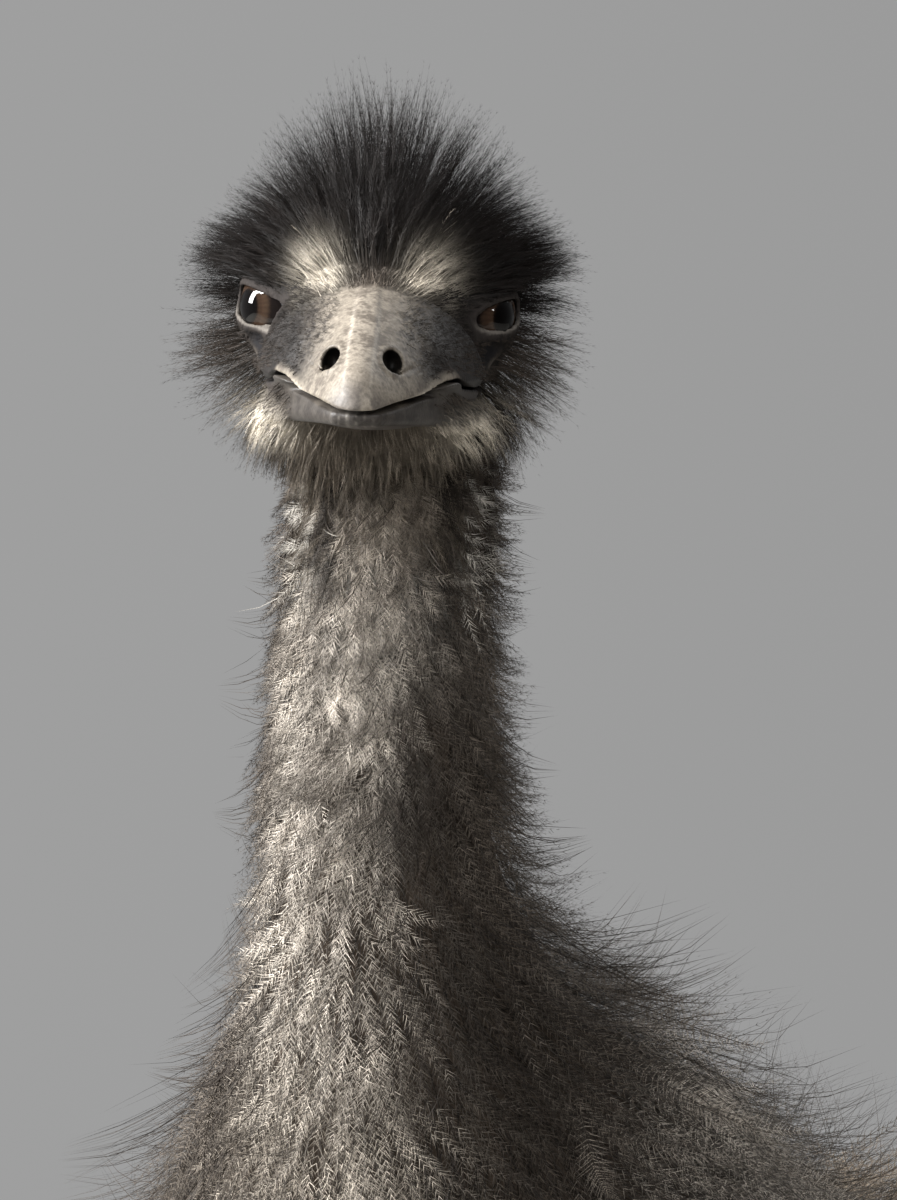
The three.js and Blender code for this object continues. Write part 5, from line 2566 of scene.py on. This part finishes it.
@dataclass
class HeadCoat:
    """The short hair-like plumes of crown, brows, cheeks and throat, and the bristles of the face."""

    head: Head
    shells: tuple[Shell, Shell, Shell]
    material: bpy.types.Material
    crown: int = 7000
    cheeks: int = 6200
    bristles: int = 6500
    filaments: int = 22

    SKIN, UPPER_BILL, LOWER_BILL = range(3)

    def __post_init__(self) -> None:
        """Measures the skin and both halves of the bill, and the outline that the plumes reach to."""
        quads = np.concatenate([shell.points[shell.quads] for shell in self.shells])
        a, b, c, d = quads.transpose(1, 0, 2)
        cross = np.cross(c - a, d - b)
        self.middles = (a + b + c + d) / 4
        self.areas = np.linalg.norm(cross, axis=1) / 2
        self.normals = unit(cross)
        self.layer = np.concatenate([np.full(len(shell.quads), k) for k, shell in enumerate(self.shells)])
        outline = head_plumage_body().shell(90, 90)
        faces = [tuple(q) for q in outline.quads] + [tuple(t) for t in outline.tris]
        self.outline = BVHTree.FromPolygons([tuple(p) for p in outline.points], faces)
        self.full, self.grows = self.open_skin()

    def open_skin(self) -> tuple[Array, Array]:
        """Tells where plumes and where bristles grow.

        Returns:
            For each face of the skin, its share of full plumage and whether anything grows there at all.
        """
        x, y, z = self.middles.T
        rank = np.random.default_rng(SEED).uniform(size=len(x))
        gap, far = self.head.opening.measure(x, y, z)
        side = np.abs(x)
        by_eye = far < EYEBALL + 10
        grows = ~(by_eye & (gap < 1.6)) & (far > EYEBALL + 1)
        ahead = self.head.ahead_of_edge(y, z)
        grows &= (ahead < -0.4) | (z < -34)
        grows &= (z > -74) & (z < 43)
        spread, off = self.head.pouch_spread(x, y, z)
        grows &= ~((spread < 1.05) & (off < 5))
        lid = np.where(by_eye, smooth_step(1.8, np.where(z > 1, 3.6, 7.0), gap), 1.0)
        above = smooth_step(6, 13, z + 0.1 * (side - 20))
        lores = smooth_step(-12, -22, y) * (1 - above) * smooth_step(-27, -21, z)
        over = z - self.head.mouth_level(y)
        off_mouth = np.abs(over)
        gape = smooth_step(8, -4, y) * smooth_step(8, 4, off_mouth)
        grows &= ~((off_mouth < 2.0) & (y < 2))
        full = lid * (1 - lores) * (1 - 0.9 * gape)
        upper = self.layer == self.UPPER_BILL
        lower = self.layer == self.LOWER_BILL
        stippled = smooth_step(40, 52, y + BILL_TIP_AHEAD + 0.5 * side) * smooth_step(7, 14, side)
        edge = 0.9 * smooth_step(6.0, 1.0, ahead)
        out, back, _ = off_nostril(x, y, z)
        by_nostril = np.hypot(out, back / 2) < 6
        chosen = rank < np.maximum(0.7 * stippled, edge)
        on_upper = upper & (over > 3.2) & (ahead > 0.4) & chosen & ~by_nostril
        jaw = smooth_step(17, 22, side + 0.5 * (z + 30)) * smooth_step(-60, -46, y)
        on_lower = lower & (over < -3.0) & (ahead > 0.4) & (rank < jaw)
        rear = smooth_step(6, 1, ahead) * smooth_step(0, 4, z) * (0.45 + 0.4 * smooth_step(5, 14, side))
        full = np.where(upper, rear, np.where(lower, 0.62, full))
        return full, np.where(self.layer == self.SKIN, grows, on_upper | on_lower)

    def build(self) -> list[bpy.types.Object]:
        """Grows the head's pieces.

        Returns:
            The four pieces.
        """
        x, y, z = self.middles.T
        fine = when_quick()
        feathered = self.full * (self.full > 0.3) * self.grows
        short = (1.02 - self.full) * (self.full < 0.9) * self.grows
        above = z > 0
        brow = feathered * (np.hypot(np.abs(x) - 15, z - 13) < 7) * (y < -12)
        return [
            self.grow("plumage_crown", int(self.crown * fine), feathered * above, CROWN_CUT),
            self.grow("plumage_cheeks", int(self.cheeks * fine), feathered * ~above, CROWN_CUT),
            self.grow("bristles_face", int(self.bristles * fine), short, BRISTLE_CUT),
            self.grow("filaments_brow", self.filaments, brow, FILAMENT_CUT, 0.75, linear("#a89f92")),
        ]

    def grow(
        self,
        name: str,
        count: int,
        weight: Array,
        cut: PlumeCut,
        stretch: float = 1.0,
        colour: Array | None = None,
    ) -> bpy.types.Object:
        """Grows one piece over the faces of the head's skin.

        Args:
            name: the piece's name.
            count: how many plumes.
            weight: how densely they stand on each face.
            cut: their kind.
            stretch: their length as a share of the usual.
            colour: their own colour, where they don't take the markings of the head.

        Returns:
            The piece.
        """
        rng = np.random.default_rng(SEED + 40 + len(name))
        chance = self.areas * weight
        face = rng.choice(len(chance), count, p=chance / chance.sum())
        root = self.middles[face] + rng.uniform(-0.4, 0.4, (count, 3))
        normal = self.normals[face]
        lie = self.lie(root, normal, rng)
        length = stretch * self.length(root, lie, self.full[face], rng)
        lines, shade = gathered(self.curve(root, normal, lie, length, cut.joints), 6, 0.5, rng)
        dim = shade * rng.uniform(0.7, 1.4, (count, 1))
        white = np.ones((count, 3)) if colour is None else np.tile(colour, (count, 1))
        bunch = Bunch(
            lines=lines,
            facing=np.broadcast_to(normal[:, None], lines.shape),
            reach=np.clip(0.17 * length, 0.8, 5.0),
            roots=self.places(root),
            stem=white * dim * 0.85,
            vane=white * dim * 1.1,
            tip=white * dim * 0.7,
            tint=head_coat_tone if colour is None else None,
        )
        vanes = Vanes.cut(cut, bunch, rng)
        vanes.points = out_of_head(vanes.points)
        return vanes.piece(name, "crown_plumage", self.material)

    def lie(self, root: Array, normal: Array, rng: np.random.Generator) -> Array:
        """Fans the plumes out from the face, back over the crown and down the nape and throat.

        Args:
            root: the roots, in the head's frame.
            normal: the skin's normals there.
            rng: the source of unevenness.

        Returns:
            A unit direction for each plume.
        """
        x, y, z = root.T
        behind = smooth_step(14, 46, y)
        below = smooth_step(-30, -52, z)
        up = z - 2 - 34 * behind - 22 * below
        fan = np.column_stack([x * (1 - 0.5 * below), np.full_like(x, 11.0), up])
        fan = unit(fan) + 0.17 * rng.normal(size=root.shape)
        outward = np.sum(fan * normal, axis=1, keepdims=True)
        return unit(fan + normal * np.maximum(0.22 - outward, 0.0))

    def length(self, root: Array, lie: Array, full: Array, rng: np.random.Generator) -> Array:
        """Reaches to the plumage's outline where it is full, and stays short on the face.

        Args:
            root: the roots, in the head's frame.
            lie: the plumes' directions.
            full: their shares of full plumage.
            rng: the source of unevenness.

        Returns:
            Lengths in mm.
        """
        count = len(root)
        side, y, z = np.abs(root[:, 0]), root[:, 1], root[:, 2]
        to_outline = np.full(count, 6.0)
        for k, (start, way) in enumerate(zip(root, lie)):
            _, _, _, distance = self.outline.ray_cast(Vector(start + way * 0.5), Vector(way))
            if distance is not None:
                to_outline[k] = distance
        beyond = 1 + 0.25 * smooth_step(28, 38, side)
        whole = np.clip(to_outline, 5.0, 54.0) * rng.uniform(0.78, 1.16, count) * beyond
        forehead = smooth_step(4, -22, y) * smooth_step(4, 12, z)
        whole = whole * (1 - 0.55 * forehead)
        chin = smooth_step(-26, -32, z) * smooth_step(30, 10, y) * smooth_step(36, 26, side)
        whole = whole * (1 - chin) + np.minimum(whole, rng.uniform(5, 11, count)) * chin
        hang = smooth_step(-44, -58, z) * smooth_step(60, 30, y)
        whole = whole * (1 - hang) + rng.uniform(15, 27, count) * hang
        short = rng.uniform(0.9, 2.2, count)
        return short + (whole - short) * smooth_step(0.25, 0.95, full)

    @staticmethod
    def curve(root: Array, normal: Array, lie: Array, length: Array, joints: int) -> Array:
        """Bends each plume from its stand on the skin into its lie.

        Args:
            root: where they stand.
            normal: the skin's normals there.
            lie: their directions.
            length: their lengths.
            joints: steps along each.

        Returns:
            The plumes' joints.
        """
        share = np.linspace(0, 1, joints + 1)[None, :, None]
        reach = length[:, None, None]
        knee = root[:, None] + 0.45 * reach * unit(0.7 * normal + 0.9 * lie)[:, None]
        end = root[:, None] + reach * lie[:, None]
        return (1 - share) ** 2 * root[:, None] + 2 * share * (1 - share) * knee + share**2 * end

    @staticmethod
    def places(root: Array) -> Array:
        """Where roots lie on the head's skin, unrolled round its upright axis.

        Args:
            root: their places, in the head's frame.

        Returns:
            Two shares of the map for each root.
        """
        around = np.arctan2(root[:, 0], -(root[:, 1] - 10)) / (2 * math.pi) + 0.5
        up = np.clip((root[:, 2] + 76) / 120, 0, 1)
        return np.column_stack([MAP_MARGIN + MAP_ROOM * around, MAP_MARGIN + MAP_ROOM * up])


def coats(head: Head, legs: list[Leg], shells: tuple[Shell, Shell, Shell]) -> list[bpy.types.Object]:
    """Grows the whole plumage.

    Args:
        head: the head's shape.
        legs: both legs.
        shells: the head's skin, upper bill and lower bill, in the head's frame.

    Returns:
        The coat's pieces.
    """
    barbs = BARBS.material()
    body = torso_body()
    pieces = BodyCoat(body, barbs).build()
    pieces += [ThighCoat(leg, barbs).build() for leg in legs]
    pieces += [WingCoat(body, side, barbs).build() for side in Side]
    pieces += HeadCoat(head, shells, barbs).build()
    return pieces


@dataclass
class Studio:
    """Floor, soft lights and the camera at the photo's viewing angle.

    Angles are degrees round the bird from straight ahead, and above level. The distance in metres and
    the focal length in pixels set the camera, and the middle of the eyes falls on its pixel of the
    picture. The lights aim at a place on the neck. The sky runs between two greys and is palest behind
    the bird, as many degrees round from the camera as the pale side says.
    """

    azimuth: float = 22.0
    elevation: float = 2.0
    distance: float = 2.0
    focal_pixels: float = 6400.0
    picture: tuple[int, int] = (897, 1200)
    eyes_pixel: tuple[float, float] = (378.0, 310.0)
    sensor: float = 36.0
    farthest: float = 60.0
    floor_size: float = 7.0
    aim: tuple[float, float, float] = (0.0, -0.35, 1.05)
    sky: tuple[float, float] = (0.02, 0.395)
    pale_side: float = 135.0

    def towards(self, azimuth: float, elevation: float) -> Vector:
        """The direction from the bird to a viewer."""
        turn, rise = math.radians(azimuth), math.radians(elevation)
        return Vector((math.sin(turn) * math.cos(rise), -math.cos(turn) * math.cos(rise), math.sin(rise)))

    def add_camera(self) -> None:
        """Sets up the camera so that the middle of the eyes falls on its pixel, with no roll and no shift."""
        eyes = Vector(in_metres(EYES_AT[None])[0])
        back = self.towards(self.azimuth, self.elevation)
        lens = bpy.data.cameras.new("portrait")
        lens.sensor_width = self.sensor
        lens.lens = self.sensor * self.focal_pixels / max(self.picture)
        lens.clip_end = self.farthest
        camera = linked("portrait", lens)
        right = self.eyes_pixel[0] - self.picture[0] / 2
        up = self.picture[1] / 2 - self.eyes_pixel[1]
        view = -back
        reach = math.sqrt(right**2 + up**2 + self.focal_pixels**2)
        nod = math.asin(view.z * reach / math.hypot(up, self.focal_pixels))
        nod -= math.atan2(up, self.focal_pixels)
        ahead = self.focal_pixels * math.cos(nod) - up * math.sin(nod)
        turn = math.atan2(view.y, view.x) - math.atan2(ahead, right)
        camera.rotation_euler = (math.pi / 2 + nod, 0.0, turn)
        camera.location = eyes + back * self.distance
        bpy.context.scene.camera = camera

    def add_light(
        self,
        name: str,
        azimuth: float,
        elevation: float,
        far: float,
        size: tuple[float, float],
        watts: float,
    ) -> None:
        """Hangs one large soft light, aimed at the neck.

        Args:
            name: the light's name.
            azimuth: degrees round the bird, as the camera's.
            elevation: degrees above level.
            far: distance in metres.
            size: width and height of the panel, in metres.
            watts: its power.
        """
        panel = bpy.data.lights.new(name, "AREA")
        panel.shape = "RECTANGLE"
        panel.size, panel.size_y = size
        panel.energy = watts
        light = linked(name, panel)
        out = self.towards(azimuth, elevation)
        light.location = Vector(self.aim) + out * far
        light.rotation_euler = out.to_track_quat("Z", "Y").to_euler()

    def add_floor(self) -> None:
        """Lays the pale floor."""
        half = self.floor_size / 2
        mesh = bpy.data.meshes.new("floor")
        corners = [(-half, -half, 0), (half, -half, 0), (half, half, 0), (-half, half, 0)]
        mesh.from_pydata(corners, [], [(0, 1, 2, 3)])
        floor = linked("floor", mesh)
        paint(floor, np.tile(linear("#96948f"), (len(corners), 1)))
        mesh.materials.append(FLOOR_PAPER.material())

    def build(self) -> None:
        """Sets up the whole studio."""
        self.add_camera()
        self.add_floor()
        self.add_light("key", -62, 29, 4.2, (1.3, 2.3), 880)
        self.add_light("fill", 8, 22, 5.0, (2.5, 2.5), 150)
        self.add_light("window", 60, 32, 3.4, (0.4, 1.1), 44)
        self.add_light("rim", 165, 40, 4.5, (2.5, 2.5), 60)
        self.add_sky()
        bpy.context.scene.view_settings.view_transform = "Standard"

    def add_sky(self) -> None:
        """Surrounds the bird with soft grey, lighter behind it and on the key light's side."""
        world = bpy.data.worlds.new("studio")
        bpy.context.scene.world = world
        world.use_nodes = True
        tree = world.node_tree
        around = add_node(tree, "ShaderNodeTexCoord").outputs["Generated"]
        side = self.towards(self.azimuth - self.pale_side, 0)
        dot = add_node(tree, "ShaderNodeVectorMath", {"operation": "DOT_PRODUCT", 1: side}, {0: around})
        level = add_node(
            tree,
            "ShaderNodeMapRange",
            {"From Min": -1.0, "From Max": 1.0, "To Min": self.sky[0], "To Max": self.sky[1]},
            {"Value": dot.outputs["Value"]},
        )
        channels = {name: level.outputs[0] for name in ("Red", "Green", "Blue")}
        grey = add_node(tree, "ShaderNodeCombineColor", None, channels)
        tree.links.new(grey.outputs[0], tree.nodes["Background"].inputs["Color"])


def main() -> None:
    """Builds the bird piece by piece."""
    head = Head()
    legs = [Leg(side) for side in Side]
    head_skin, upper, lower = head.parted()
    log.info("head shaped: %d points", len(head_skin.points))
    skin = Skin(head, legs).build(head_skin)
    log.info("skin: %d faces", len(skin.data.polygons))
    for piece in Bill(head).build(upper, lower) + Eyes().build() + Claws(legs).build():
        log.info("%s: %d faces", piece.name, len(piece.data.polygons))
    for piece in coats(head, legs, (head_skin, upper, lower)):
        log.info("%s: %d triangles", piece.name, len(piece.data.polygons))
    Studio().build()


if __name__ == "__main__":
    main()
